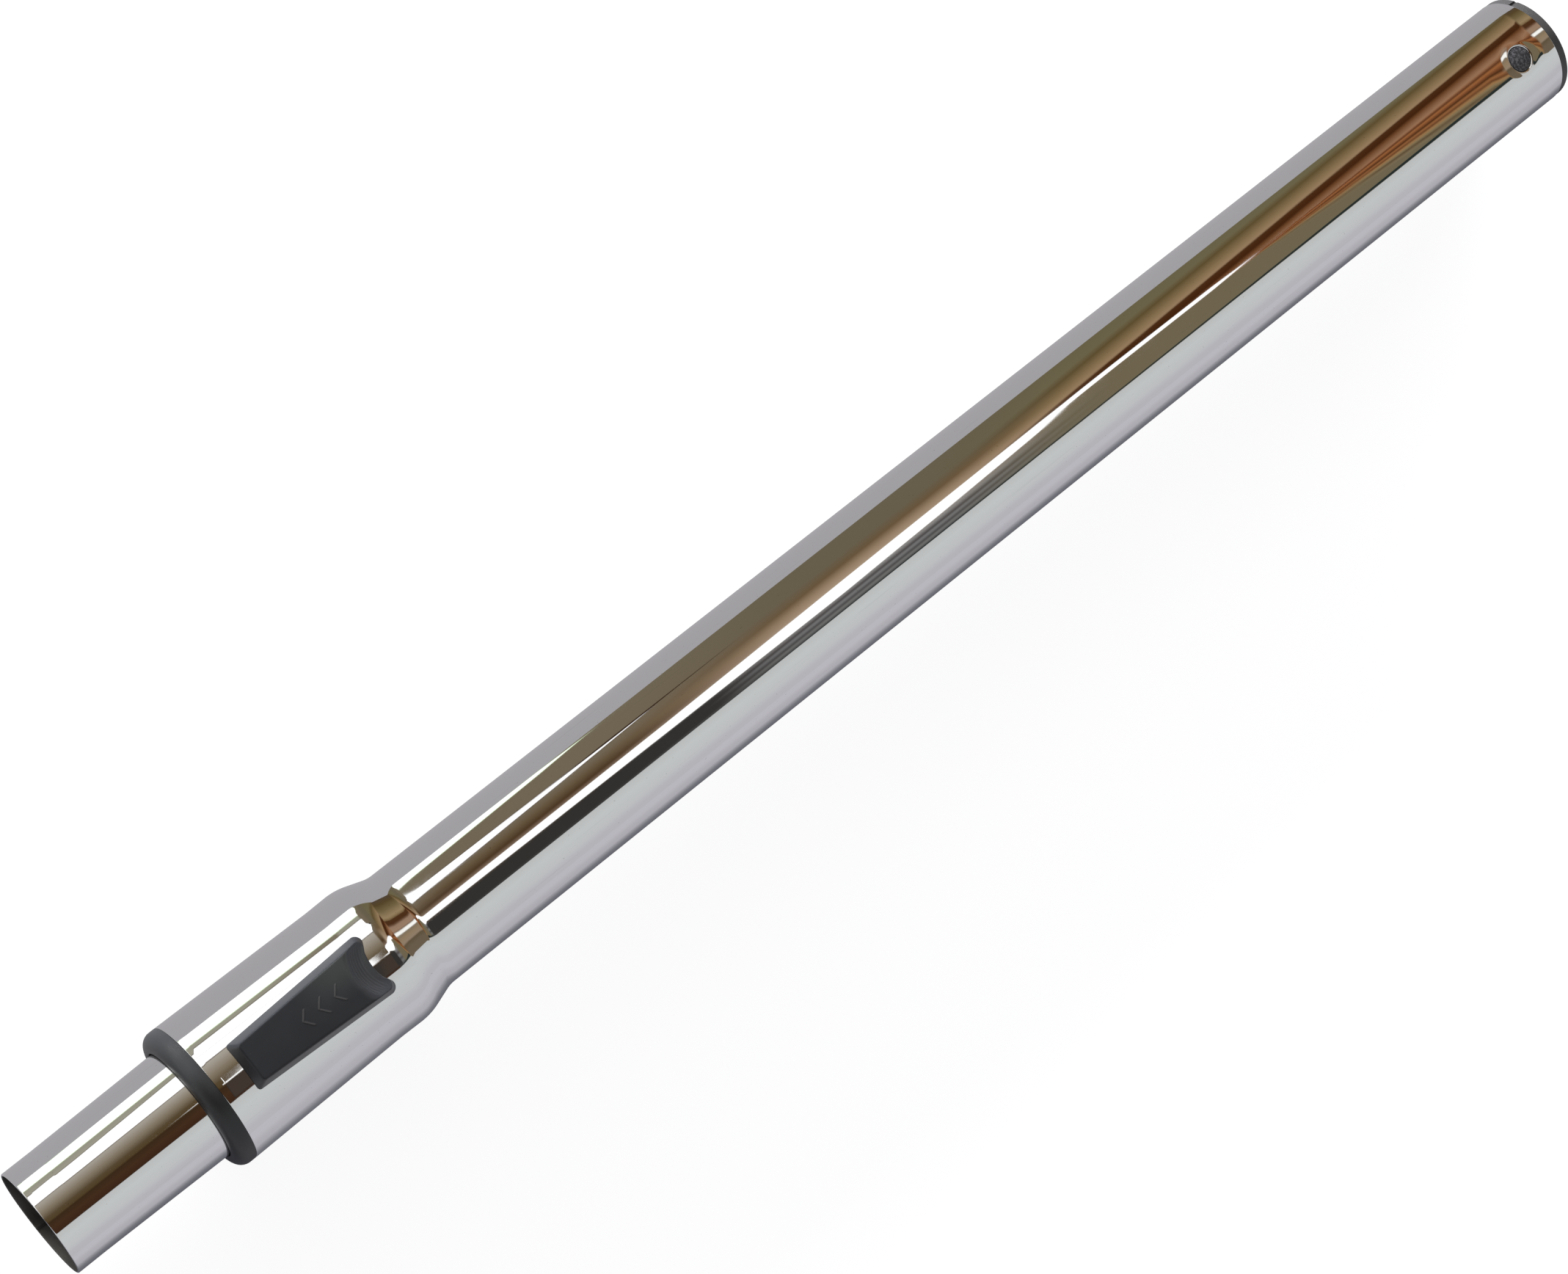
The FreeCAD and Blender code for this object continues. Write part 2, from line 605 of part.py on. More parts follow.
def lock_slide():
    """Slide under the bell, with the block into the button, the roller ramp and spring pockets."""
    floor = CHANNEL_FLOOR + SLIDE_FLOOR_GAP
    land = ramp_height(RAMP_LAND_START)
    waist_start = ROLLER_X - CAGE_HALF_LENGTH - SLIDE_TRAVEL - SLIDE_CAGE_GAP
    waist_end = ROLLER_X + CAGE_HALF_LENGTH + SLIDE_CAGE_GAP
    widths = (-SLIDE_HALF_WIDTH, SLIDE_HALF_WIDTH)
    waist_widths = (-BLOCK_HALF_WIDTH, BLOCK_HALF_WIDTH)
    runners = [
        box((SLIDE_START, waist_start), widths, (floor, SHOULDER_RADIUS)),
        box((waist_end, SLIDE_END), widths, (floor, SHOULDER_RADIUS)),
        box((waist_start, waist_end), waist_widths, (land, SHOULDER_RADIUS)),
    ]
    base = runners[0].fuse(runners[1:]).common(bell_cone((SLIDE_START, SLIDE_END), SLIDE_BELL_GAP))
    block_range = (ROLLER_X - BLOCK_BEHIND, ROLLER_X + BLOCK_AHEAD)
    slide = base.fuse(box(block_range, waist_widths, (land, BLOCK_TOP)))
    ramp_back = -SLIDE_TRAVEL - RAMP_RUN_OUT
    ramp_outline = Part.makePolygon([
        point(ROLLER_X + ramp_back, -SLIDE_HALF_WIDTH, floor),
        point(ROLLER_X + ramp_back, -SLIDE_HALF_WIDTH, ramp_height(ramp_back)),
        point(ROLLER_X + RAMP_LAND_START, -SLIDE_HALF_WIDTH, land),
        point(ROLLER_X + RAMP_LAND_START, -SLIDE_HALF_WIDTH, floor),
        point(ROLLER_X + ramp_back, -SLIDE_HALF_WIDTH, floor),
    ])
    slide = slide.cut(Part.Face(ramp_outline).extrude(point(0, 2 * SLIDE_HALF_WIDTH, 0)))
    pocket = rod(
        SPRING_RADIUS + SPRING_WIRE_RADIUS + SPRING_POCKET_GAP,
        point(SLIDE_END - SPRING_POCKET_DEPTH, 0, SPRING_HEIGHT),
        point(SLIDE_END, 0, SPRING_HEIGHT),
    )
    groove = box(
        block_range,
        (BLOCK_HALF_WIDTH - CATCH_GROOVE_DEPTH, BLOCK_HALF_WIDTH),
        (CATCH_HEIGHT, CATCH_HEIGHT + CATCH_GROOVE_HEIGHT),
    )
    return slide.cut([pocket, mirrored(groove)]).removeSplitter()


def return_spring():
    """Compression spring from the slide's pocket to the sleeve's front wall."""
    start = SLIDE_END - SPRING_POCKET_DEPTH + SPRING_WIRE_RADIUS
    length = FRONT_FLANGE_START - start - SPRING_WIRE_RADIUS
    helix = Part.makeHelix(length / SPRING_TURNS, length, SPRING_RADIUS)
    section = []
    for corner in range(SPRING_WIRE_SIDES + 1):
        angle = 2 * math.pi * corner / SPRING_WIRE_SIDES
        reach = SPRING_RADIUS + SPRING_WIRE_RADIUS * math.cos(angle)
        section.append(point(reach, 0, SPRING_WIRE_RADIUS * math.sin(angle)))
    coil = Part.Wire(helix).makePipeShell([Part.makePolygon(section)], True, True)
    coil.rotate(point(0, 0, 0), point(0, 1, 0), 90)
    coil.translate(point(start, 0, SPRING_HEIGHT))
    return coil


def button_outline(height_shift, inset, top):
    """Closed outline of the button at its foot or on its sloping top."""
    if top:
        nose_x = BUTTON_NOSE_X - NOSE_SLOPE_LENGTH - inset
        horn_x = BUTTON_HORN_X + HORN_SLOPE_LENGTH + inset
        widths = (NOSE_TOP_HALF_WIDTH - inset, HORN_TOP_HALF_WIDTH - inset)
        heights = (NOSE_HEIGHT + height_shift, HORN_HEIGHT + height_shift)
    else:
        nose_x = BUTTON_NOSE_X - inset
        horn_x = BUTTON_HORN_X + inset
        widths = (NOSE_HALF_WIDTH - inset, HORN_HALF_WIDTH - inset)
        heights = (BUTTON_FOOT, BUTTON_FOOT)
    nose_round = 0 if inset else NOSE_CORNER_ROUND
    horn_round = 0 if inset else HORN_CORNER_ROUND
    corners = [
        (nose_x, widths[0], nose_round),
        (nose_x, -widths[0], nose_round),
        (horn_x, -widths[1], horn_round),
        (horn_x, widths[1], horn_round),
    ]
    wire = Part.Wire(rounded_edges(corners, closed=True))
    wire.rotate(point(0, 0, 0), point(1, 0, 0), -90)
    slope = math.degrees(math.atan((heights[1] - heights[0]) / (nose_x - horn_x)))
    wire.rotate(point(nose_x, 0, 0), point(0, 1, 0), slope)
    wire.translate(point(0, 0, heights[0]))
    return wire


def button_form(height_shift, inset):
    outlines = [button_outline(height_shift, inset, top) for top in (False, True)]
    return Part.makeLoft(outlines, True, True)


def scoop():
    """Slanting round cutter for the thumb scoop at the button's wide end."""
    slant = point(SCOOP_TOP_DEPTH - SCOOP_FOOT_DEPTH, 0, HORN_HEIGHT - SCOOP_FOOT_HEIGHT)
    reach = SCOOP_RADIUS / math.sin(math.atan2(slant.z, slant.x))
    foot = point(BUTTON_HORN_X + SCOOP_FOOT_DEPTH - reach, 0, SCOOP_FOOT_HEIGHT)
    return rod(SCOOP_RADIUS, foot - slant * SCOOP_OVERRUN, foot + slant * SCOOP_OVERRUN)


def bell_clearance(travel, gap):
    """Cone a gap outside the bell at the place that the button reaches when pushed."""
    x_range = (BUTTON_HORN_X - SCOOP_RADIUS, BUTTON_NOSE_X + SCOOP_RADIUS)
    radii = [bell_radius(x + travel) + gap for x in x_range]
    length = x_range[1] - x_range[0]
    return Part.makeCone(radii[0], radii[1], length, point(x_range[0], 0, 0), point(1, 0, 0))


def lock_button():
    """Moulded hollow button with the thumb scoop, the chevrons and the catch arms inside."""
    form = button_form(0, 0)
    top_edges = [edge for edge in form.Edges if edge.BoundBox.ZMin > NOSE_HEIGHT - BUTTON_EDGE_ROUND]
    form = form.makeFillet(BUTTON_EDGE_ROUND, top_edges).cut(scoop())
    hollow_start = BUTTON_HORN_X + SCOOP_TOP_DEPTH + BUTTON_WALL
    solid_end = box(
        (BUTTON_HORN_X, hollow_start),
        (-HORN_HALF_WIDTH, HORN_HALF_WIDTH),
        (BUTTON_FOOT, HORN_HEIGHT),
    )
    hollow = button_form(-BUTTON_WALL, BUTTON_WALL).cut(solid_end)
    shell = form.cut(hollow)
    arm_inner = BLOCK_HALF_WIDTH + CATCH_ARM_GAP
    arm_outer = arm_inner + CATCH_ARM_THICKNESS
    nib_inner = BLOCK_HALF_WIDTH - CATCH_GROOVE_DEPTH + CATCH_ARM_GAP
    nib_base = CATCH_HEIGHT + CATCH_ARM_GAP
    nib_top = CATCH_HEIGHT + CATCH_GROOVE_HEIGHT - CATCH_ARM_GAP
    arm_range = (ROLLER_X - CATCH_ARM_BEHIND, ROLLER_X + CATCH_ARM_AHEAD)
    arm = box(arm_range, (arm_inner, arm_outer), (nib_base, HORN_HEIGHT))
    nib = box(arm_range, (nib_inner, arm_inner), (nib_base, nib_top))
    arms = mirrored(arm.fuse(nib)).common(button_form(-BUTTON_WALL / 2, BUTTON_WALL / 2))
    shell = shell.fuse(arms).cut(bell_clearance(SLIDE_TRAVEL, BUTTON_BELL_GAP))
    return shell.fuse(chevrons()).removeSplitter()


def chevrons():
    """Low arrow ribs on the button's top that point the way it is pushed."""
    fall = (HORN_HEIGHT - NOSE_HEIGHT) / (BUTTON_LENGTH - NOSE_SLOPE_LENGTH - HORN_SLOPE_LENGTH)
    half = CHEVRON_WIDTH / 2
    ribs = []
    for number in range(CHEVRON_COUNT):
        distance = CHEVRON_DISTANCE + number * CHEVRON_PITCH
        tip = BUTTON_NOSE_X - distance
        root = NOSE_HEIGHT + fall * (distance - NOSE_SLOPE_LENGTH) - CHEVRON_ROOT
        wire = Part.makePolygon([
            point(tip, 0, root),
            point(tip - CHEVRON_LENGTH, half, root),
            point(tip - CHEVRON_LENGTH - CHEVRON_LINE, half, root),
            point(tip - CHEVRON_LINE, 0, root),
            point(tip - CHEVRON_LENGTH - CHEVRON_LINE, -half, root),
            point(tip - CHEVRON_LENGTH, -half, root),
            point(tip, 0, root),
        ])
        ribs.append(Part.Face(wire).extrude(point(0, 0, CHEVRON_ROOT + CHEVRON_HEIGHT)))
    return ribs


def end_collar():
    """Moulded ring pressed into the bell's mouth, with a nose rounded in short cones."""
    skirt_outer = bell_radius(SKIRT_START) - OUTER_WALL - SLEEVE_SEAT_GAP
    bore = INNER_RADIUS + COLLAR_TUBE_GAP
    nose = [(BELL_END, BELL_MOUTH_RADIUS, 0)]
    for step in range(COLLAR_NOSE_STEPS + 1):
        angle = math.pi / 2 * step / COLLAR_NOSE_STEPS
        x = COLLAR_END - COLLAR_NOSE_ROUND * (1 - math.sin(angle))
        nose.append((x, BELL_MOUTH_RADIUS - COLLAR_NOSE_ROUND * (1 - math.cos(angle)), 0))
    return turned(nose + [
        (COLLAR_END, bore, 0),
        (WIPER_END, bore, 0),
        (WIPER_END, COLLAR_SKIRT_RADIUS, 0),
        (SKIRT_START, COLLAR_SKIRT_RADIUS, 0),
        (SKIRT_START, skirt_outer, 0),
        (BELL_END, skirt_outer, 0),
    ])


shapes = {
    "outer_tube": outer_tube(),
    "socket_liner": socket_liner(),
    "guide_sleeve": guide_sleeve(),
    "roller_cage": roller_cage(),
    "end_collar": end_collar(),
    "wiper_ring": ring(
        INNER_RADIUS + WIPER_PLAY,
        COLLAR_SKIRT_RADIUS - SLEEVE_SEAT_GAP,
        (WIPER_START, WIPER_END),
    ),
    "stop_buffer": ring(
        INNER_RADIUS + BUFFER_PLAY,
        INNER_RADIUS + BUFFER_PLAY + BUFFER_WALL,
        (STOP_FACE, SLEEVE_START),
    ),
    "lock_roller": lock_roller(),
    "lock_slide": lock_slide(),
    "lock_button": lock_button(),
    "return_spring": return_spring(),
    "inner_tube": inner_tube(),
    "tail_shell_left": tail_shell(1),
    "tail_shell_right": tail_shell(-1),
    "tail_seal": tail_seal(),
}

os.makedirs("parts", exist_ok=True)
for name, shape in shapes.items():
    shape.exportStep(os.path.join("parts", name + ".step"))
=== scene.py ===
import math

import bmesh
import bpy
import numpy as np
from mathutils import Matrix, Vector


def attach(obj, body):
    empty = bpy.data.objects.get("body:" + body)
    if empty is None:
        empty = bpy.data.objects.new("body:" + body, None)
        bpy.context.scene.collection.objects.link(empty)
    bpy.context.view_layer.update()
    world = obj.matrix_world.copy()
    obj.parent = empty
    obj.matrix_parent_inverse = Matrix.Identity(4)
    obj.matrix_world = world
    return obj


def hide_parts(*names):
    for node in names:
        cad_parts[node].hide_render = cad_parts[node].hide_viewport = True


# Telescopic vacuum wand, chromed, with black moulded fittings. Metres, in the frame of the
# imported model: +X runs along the wand to the floor head, +Z points out of the lock button.

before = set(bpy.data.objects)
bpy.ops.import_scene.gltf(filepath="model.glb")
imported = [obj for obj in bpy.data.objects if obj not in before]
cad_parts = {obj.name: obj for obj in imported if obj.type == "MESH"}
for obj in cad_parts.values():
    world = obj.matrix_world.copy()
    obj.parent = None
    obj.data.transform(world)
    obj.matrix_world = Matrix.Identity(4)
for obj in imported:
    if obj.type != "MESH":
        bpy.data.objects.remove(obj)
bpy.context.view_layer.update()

# Camera, placed as the photograph was taken
PHOTO_WIDTH = 2137
FOCAL_PIXELS = 4624.6
CAMERA_PLACE = (0.663318, -0.046929, 0.895452)
CAMERA_FORWARD = (-0.357148, 0.049505, -0.932735)
CAMERA_UP = (-0.580083, -0.794436, 0.179951)
FLOOR_LEVEL = -0.0216

# Places along the wand and radii, in millimetres, as the solids have them
TUBE_START = 3.0
TUBE_RADIUS = 18.0
WALL = 0.7
SHOULDER_FOOT = 457.8
SHOULDER_TOP = 467.0
SHOULDER_RADIUS = 21.05
BELL_NECK = 476.5
NECK_RADIUS = 20.84
BELL_END = 526.6
MOUTH_RADIUS = 21.45
CUT_ROUND = 0.25
HOLE_X = 16.4
HOLE_RADIUS = 4.0
HOLE_ROUND = 0.6
HOLE_ANGLE = math.radians(3)
HOLE_DISH = 0.12
HOLE_DISH_WIDTH = 1.6
WINDOW = (484.85, 514.15)
INNER_RADIUS = 16.6
TIP_RADIUS = 16.05
TAPER_START = 529.8
LAND_START = 570.9
WAND_END = 579.9
TAIL_START = 50.2
TAIL_RADIUS = 17.0
NOTCH_FIRST = 498.0
NOTCH_PITCH = 33.0
NOTCH_COUNT = 13
NOTCH_AXIS = 17.1
GROOVE_AXIS = 17.3
GROOVE_END = 522.6
PRESS_ROUND = 1.6
COLLAR_END = 531.8
COLLAR_NOSE = 3.4
NOSE_X = 518.4
HORN_X = 473.1
NOSE_HALF = 7.2
HORN_HALF = 9.3
NOSE_HEIGHT = 25.4
HORN_HEIGHT = 26.2
HOLLOW_CENTRE = 464.0
HOLLOW_RADIUS = 11.6
SCOOP_CENTRE = 470.6
SCOOP_EDGE_RADIUS = 12.0
SCOOP_FOOT = 21.3
SCOOP_END = 484.6
BUTTON_TRAVEL = 6.0
BUTTON_GAP = 0.15
BUTTON_WALL = 1.5
CATCH_LOW = 22.4
CATCH_STEPS = ((4.5, 5.3, 2.0), (4.0, 4.5, 0.7))
ARROW_PLACES = (499.9, 494.7, 489.5)
BELL_SLOPE = (MOUTH_RADIUS - NECK_RADIUS) / (BELL_END - BELL_NECK)
COLUMNS = 256
SPINE_ENDS = (486.0, 512.0)
EDGE_ROUND = 0.45
CATCH_ENDS = (488.0, 503.0)
CHROME_SHARE = 0.8
SHEET_EDGE = 33.6


def unit(vector):
    return vector / np.linalg.norm(vector)


def rounded(corners, steps=24):
    """Outline through corners (x, radius, round): runs joined by arcs of the given round.

    Each arc is its centre plus the round times (cos, sin) of an angle that goes evenly from
    where it leaves one run to where it meets the next.
    """
    places = np.array([corner[:2] for corner in corners], float)
    pieces = [places[:1]]
    for index in range(1, len(corners) - 1):
        here, radius = places[index], corners[index][2]
        back = unit(places[index - 1] - here)
        ahead = unit(places[index + 1] - here)
        half = math.acos(np.dot(back, ahead)) / 2
        centre = here + unit(back + ahead) * radius / math.sin(half)
        start = here + back * radius / math.tan(half) - centre
        end = here + ahead * radius / math.tan(half) - centre
        first = math.atan2(start[1], start[0])
        sweep = (math.atan2(end[1], end[0]) - first + math.pi) % (2 * math.pi) - math.pi
        angle = first + sweep * np.linspace(0, 1, steps)
        pieces.append(centre + radius * np.stack([np.cos(angle), np.sin(angle)], 1))
    pieces.append(places[-1:])
    return np.vstack(pieces)


def moved_in(outline, depth):
    """The outline moved by a depth along its normal, which is its slope turned a quarter."""
    slope = np.gradient(outline[:, 1], outline[:, 0])
    length = np.sqrt(1 + slope**2)
    return outline + depth * np.stack([slope / length, -1 / length], 1)


def radius_at(outline, places):
    return np.interp(places, outline[:, 0], outline[:, 1])


def ring_points(x, radius, angle):
    """Points at x, radius * sin(angle), radius * cos(angle): angle zero is the wand's top."""
    x, radius, angle = np.broadcast_arrays(x, radius, angle)
    return np.stack([x, radius * np.sin(angle), radius * np.cos(angle)], -1)


def grid_faces(shape, close_rows=False, close_columns=False, kept=None):
    """Quads between neighbours of a grid of points numbered row by row."""
    number = np.arange(shape[0] * shape[1]).reshape(shape[:2])
    if close_rows:
        number = np.vstack([number, number[:1]])
    if close_columns:
        number = np.hstack([number, number[:, :1]])
    quads = np.stack([number[:-1, :-1], number[1:, :-1], number[1:, 1:], number[:-1, 1:]], -1)
    return quads.reshape(-1, 4) if kept is None else quads[kept]


def surface(name, patches, sharp_degrees=30):
    """One mesh object from patches (points in millimetres, quads), welded where they meet."""
    counts = [points.size // 3 for points, _ in patches]
    starts = np.cumsum([0] + counts[:-1])
    points = np.vstack([points.reshape(-1, 3) for points, _ in patches]) * 0.001
    quads = np.vstack([faces + start for (_, faces), start in zip(patches, starts)])
    mesh = bpy.data.meshes.new(name)
    mesh.from_pydata(points, [], quads)
    form = bmesh.new()
    form.from_mesh(mesh)
    bmesh.ops.remove_doubles(form, verts=form.verts, dist=2e-7)
    bmesh.ops.recalc_face_normals(form, faces=form.faces)
    form.to_mesh(mesh)
    form.free()
    mesh.polygons.foreach_set("use_smooth", np.ones(len(mesh.polygons), bool))
    mesh.set_sharp_from_angle(angle=math.radians(sharp_degrees))
    piece = bpy.data.objects.new(name, mesh)
    bpy.context.scene.collection.objects.link(piece)
    return piece


def lathe(name, loop):
    """Ring whose points are those of a closed loop (x, radius) carried round the axis."""
    angle = np.linspace(-math.pi, math.pi, COLUMNS, endpoint=False)
    points = ring_points(loop[:, :1], loop[:, 1:], angle)
    return surface(name, [(points, grid_faces(points.shape, True, True))])


def arc(centre, radius, start_degrees, end_degrees, steps=7):
    """Points centre + radius * (cos, sin) of angles that go evenly from start to end."""
    angle = np.radians(np.linspace(start_degrees, end_degrees, steps))
    return np.stack([centre[0] + radius * np.cos(angle), centre[1] + radius * np.sin(angle)], 1)


def hole_patch(radius, edge_x, edge_angle, hole_reach, steps, dish=0):
    """Rings on the tube's round from a square of grid points to a circle in its middle.

    The hole's axis crosses the wand's. A point's place across is radius * sin(angle), its
    height is the square root of radius squared less that place squared, less a dish of
    depth * exp(-(distance past the hole / width) squared), which fades out at the square.
    From the circle to the square the places go by the share of the way to the power 1.5.
    """
    edge = np.stack([edge_x - HOLE_X, radius * np.sin(edge_angle - HOLE_ANGLE)], 1)
    turn = np.arctan2(edge[:, 1], edge[:, 0])
    circle = hole_reach * np.stack([np.cos(turn), np.sin(turn)], 1)
    share = np.linspace(0, 1, steps)[:, None, None] ** 1.5
    plan = circle * (1 - share) + edge * share
    distance = np.linalg.norm(plan, axis=-1) - hole_reach
    fade = (1 - share[..., 0]) ** 0.25
    hollow = dish * np.exp(-((distance / HOLE_DISH_WIDTH) ** 2)) * fade
    return plan, np.sqrt(radius**2 - plan[..., 1] ** 2) - hollow, turn


def standing(plan, height):
    """Points from places along and across the hole's axis and a height on it."""
    across, sine, cosine = plan[..., 1], math.sin(HOLE_ANGLE), math.cos(HOLE_ANGLE)
    y = across * cosine + height * sine
    z = height * cosine - across * sine
    return np.stack([HOLE_X + plan[..., 0], y, z], -1)


def outer_tube():
    """Swaged tube: skins at radius(x), and at radius(x) less the wall along the normal.

    Cells of the two skins are left out at the slide's window and at the stud hole. Straight
    walls close the window. The hole has rings on both skins, a rim of a quarter circle and
    a straight wall.
    """
    angle = np.linspace(-math.pi, math.pi, COLUMNS, endpoint=False)
    outline = rounded([
        (TUBE_START, TUBE_RADIUS, 0),
        (SHOULDER_FOOT, TUBE_RADIUS, 10),
        (SHOULDER_TOP, SHOULDER_RADIUS, 18),
        (BELL_NECK, NECK_RADIUS, 60),
        (BELL_END, MOUTH_RADIUS, 0),
    ], 40)
    half_square, half_window, top = 16, 9, COLUMNS // 2
    step = TUBE_RADIUS * 2 * math.pi / COLUMNS
    hole_column = top + round(HOLE_ANGLE / (2 * math.pi) * COLUMNS)
    square_x = HOLE_X + step * np.arange(-half_square, half_square + 1)
    ends = [TUBE_START + CUT_ROUND, BELL_END - CUT_ROUND]
    bends = outline[(outline[:, 0] > 440) & (outline[:, 0] < 486), 0]
    spaced = np.concatenate([np.linspace(30, 440, 12), np.linspace(488, 524, 10)])
    rows = np.unique(np.concatenate([ends, WINDOW, square_x, bends, spaced]).round(6))
    middle = (rows[1:, None] + rows[:-1, None]) / 2
    column = np.arange(COLUMNS) + 0.5
    in_square = abs(middle - HOLE_X) < half_square * step
    in_square = in_square & (abs(column - hole_column) < half_square)
    in_window = (abs(column - top) < half_window) & (middle > WINDOW[0]) & (middle < WINDOW[1])
    kept = ~(in_square | in_window)

    first, last = np.searchsorted(rows, square_x[[0, -1]] - 0.01)
    run = np.arange(first, last)
    around = np.arange(hole_column - half_square, hole_column + half_square)
    edge_row = np.concatenate([
        run, np.full(len(around), last), run[::-1] + 1, np.full(len(around), first),
    ])
    edge_column = np.concatenate([
        np.full(len(run), around[0]), around, np.full(len(run), around[-1] + 1), around[::-1] + 1,
    ])

    patches, skins = [], []
    for skin_outline in (outline, moved_in(outline, WALL)):
        radius = radius_at(skin_outline, rows)
        points = ring_points(rows[:, None], radius[:, None], angle)
        patches.append((points, grid_faces(points.shape, False, True, kept)))
        skins.append(points)
    outside, inside = skins
    edge_x, edge_angle = rows[edge_row], angle[edge_column]
    plan, height, turn = hole_patch(
        TUBE_RADIUS, edge_x, edge_angle, HOLE_RADIUS + HOLE_ROUND, 14, HOLE_DISH)
    points = standing(plan, height)
    points[-1] = outside[edge_row, edge_column]
    patches.append((points, grid_faces(points.shape, False, True)))
    bend = np.radians(np.linspace(0, 90, 9))[:, None]
    reach = HOLE_RADIUS + HOLE_ROUND * (1 - np.sin(bend)) + 0 * turn
    rim_plan = reach[..., None] * np.stack([np.cos(turn), np.sin(turn)], -1)
    rim_height = height[0] - HOLE_ROUND * (1 - np.cos(bend))
    inner_plan, inner_height, _ = hole_patch(
        TUBE_RADIUS - WALL, edge_x, edge_angle, HOLE_RADIUS, 4)
    rim_plan = np.concatenate([rim_plan, inner_plan[:1]])
    rim_height = np.concatenate([rim_height, inner_height[:1]])
    points = standing(rim_plan, rim_height)
    patches.append((points, grid_faces(points.shape, False, True)))
    points = standing(inner_plan, inner_height)
    points[-1] = inside[edge_row, edge_column]
    patches.append((points, grid_faces(points.shape, False, True)))

    window_rows = np.flatnonzero((rows > WINDOW[0] - 0.01) & (rows < WINDOW[1] + 0.01))
    window_columns = np.arange(top - half_window, top + half_window + 1)
    for cells in (
        np.ix_(window_rows, window_columns[:1]),
        np.ix_(window_rows, window_columns[-1:]),
        np.ix_(window_rows[:1], window_columns),
        np.ix_(window_rows[-1:], window_columns),
    ):
        wall = np.stack([outside[cells].reshape(-1, 3), inside[cells].reshape(-1, 3)])
        patches.append((wall, grid_faces(wall.shape)))

    for row, sign in ((0, -1), (-1, 1)):
        outer_radius = radius_at(outline, rows[row])
        inner_radius = radius_at(moved_in(outline, WALL), rows[row])
        side = 90 - 90 * sign
        cut = np.vstack([
            arc((rows[row], outer_radius - CUT_ROUND), CUT_ROUND, 90, side),
            arc((rows[row], inner_radius + CUT_ROUND), CUT_ROUND, side, 90 - 180 * sign),
        ])
        points = ring_points(cut[:, :1], cut[:, 1:], angle)
        points[0], points[-1] = outside[row], inside[row]
        patches.append((points, grid_faces(points.shape, False, True)))
    return surface("outer_tube_skin", patches)


def soft_lower(first, second, softness=0.12):
    """The lower of two heights, their crossing rounded: low - k * log(1 + exp(-gap / k))."""
    gap = abs(first - second)
    return np.minimum(first, second) - softness * np.log1p(np.exp(-gap / softness))


def cylinder_floor(distance, round_, axis_height):
    """Height of a round cutter's underside, which climbs steeply past its own radius."""
    inside = np.sqrt(np.maximum(round_**2 - distance**2, 0))
    return axis_height - inside + 3 * np.maximum(distance - round_, 0)


def pressed(points, round_):
    """Tube points with the lock notches pressed in on top and the guide groove below.

    On top the height is the softened lower one of the tube's and each notch's, a cylinder
    across the tube. Below it is the same for a cylinder along the tube, ended by a ball.
    """
    x, y, z = points[..., 0], points[..., 1], points[..., 2]
    number = np.clip(np.round((NOTCH_FIRST - x) / NOTCH_PITCH), 0, NOTCH_COUNT - 1)
    past = abs(x - (NOTCH_FIRST - number * NOTCH_PITCH))
    upper = soft_lower(z, cylinder_floor(past, round_, NOTCH_AXIS))
    past = np.hypot(y, np.maximum(x - GROOVE_END, 0))
    lower = -soft_lower(-z, cylinder_floor(past, round_, GROOVE_AXIS))
    return np.stack([x, y, np.where(z > 0, upper, lower)], -1)


def inner_tube():
    """Tube with skins at radius(x) and a wall inside it, notches and groove pressed in both.

    The spigot's radius falls evenly to its land, and its tip curls in over a half circle.
    """
    angle = np.radians(np.concatenate([
        np.arange(-180, -170, 1.0), np.arange(-170, -26, 2.4), np.arange(-26, 26, 0.8),
        np.arange(26, 170, 2.4), np.arange(170, 180, 1.0),
    ]))
    tip = WAND_END - WALL / 2
    outline = rounded([
        (TAIL_START, TAIL_RADIUS, 0),
        (TAIL_START + 1.2, INNER_RADIUS, 1.5),
        (TAPER_START, INNER_RADIUS, 60),
        (LAND_START, TIP_RADIUS, 60),
        (tip, TIP_RADIUS, 0),
    ], 6)
    notches = NOTCH_FIRST - NOTCH_PITCH * np.arange(NOTCH_COUNT)
    across_notch = np.concatenate([
        np.linspace(-2.6, -1.3, 5), np.linspace(-1.1, 1.1, 9), np.linspace(1.3, 2.6, 5),
    ])
    groove_close = np.linspace(GROOVE_END - 1, GROOVE_END + 2, 9)
    ends = outline[[0, -1], 0]
    rows = np.concatenate([
        ends, outline[:, 0], (notches[:, None] + across_notch).ravel(), groove_close,
        np.linspace(TAIL_START, 500, 14), np.linspace(526, 578, 14),
    ])
    inner_rows = np.concatenate([
        ends, (notches[:, None] + across_notch[::2]).ravel(), groove_close[::2],
        np.linspace(526, 578, 5),
    ])
    patches, skins = [], []
    for places, skin_outline, round_ in (
        (rows, outline, PRESS_ROUND),
        (inner_rows, moved_in(outline, WALL), PRESS_ROUND + WALL),
    ):
        places = np.unique(places.round(4))
        points = ring_points(places[:, None], radius_at(skin_outline, places)[:, None], angle)
        points = pressed(points, round_)
        skins.append(points)
        patches.append((points, grid_faces(points.shape, False, True)))
    outside, inside = skins
    tail = np.stack([outside[0], inside[0]])
    patches.append((tail, grid_faces(tail.shape, False, True)))
    curl = arc((tip, TIP_RADIUS - WALL / 2), WALL / 2, 90, -90, 13)
    points = ring_points(curl[:, :1], curl[:, 1:], angle)
    points[0], points[-1] = outside[-1], inside[-1]
    patches.append((points, grid_faces(points.shape, False, True)))
    return surface("inner_tube_skin", patches)


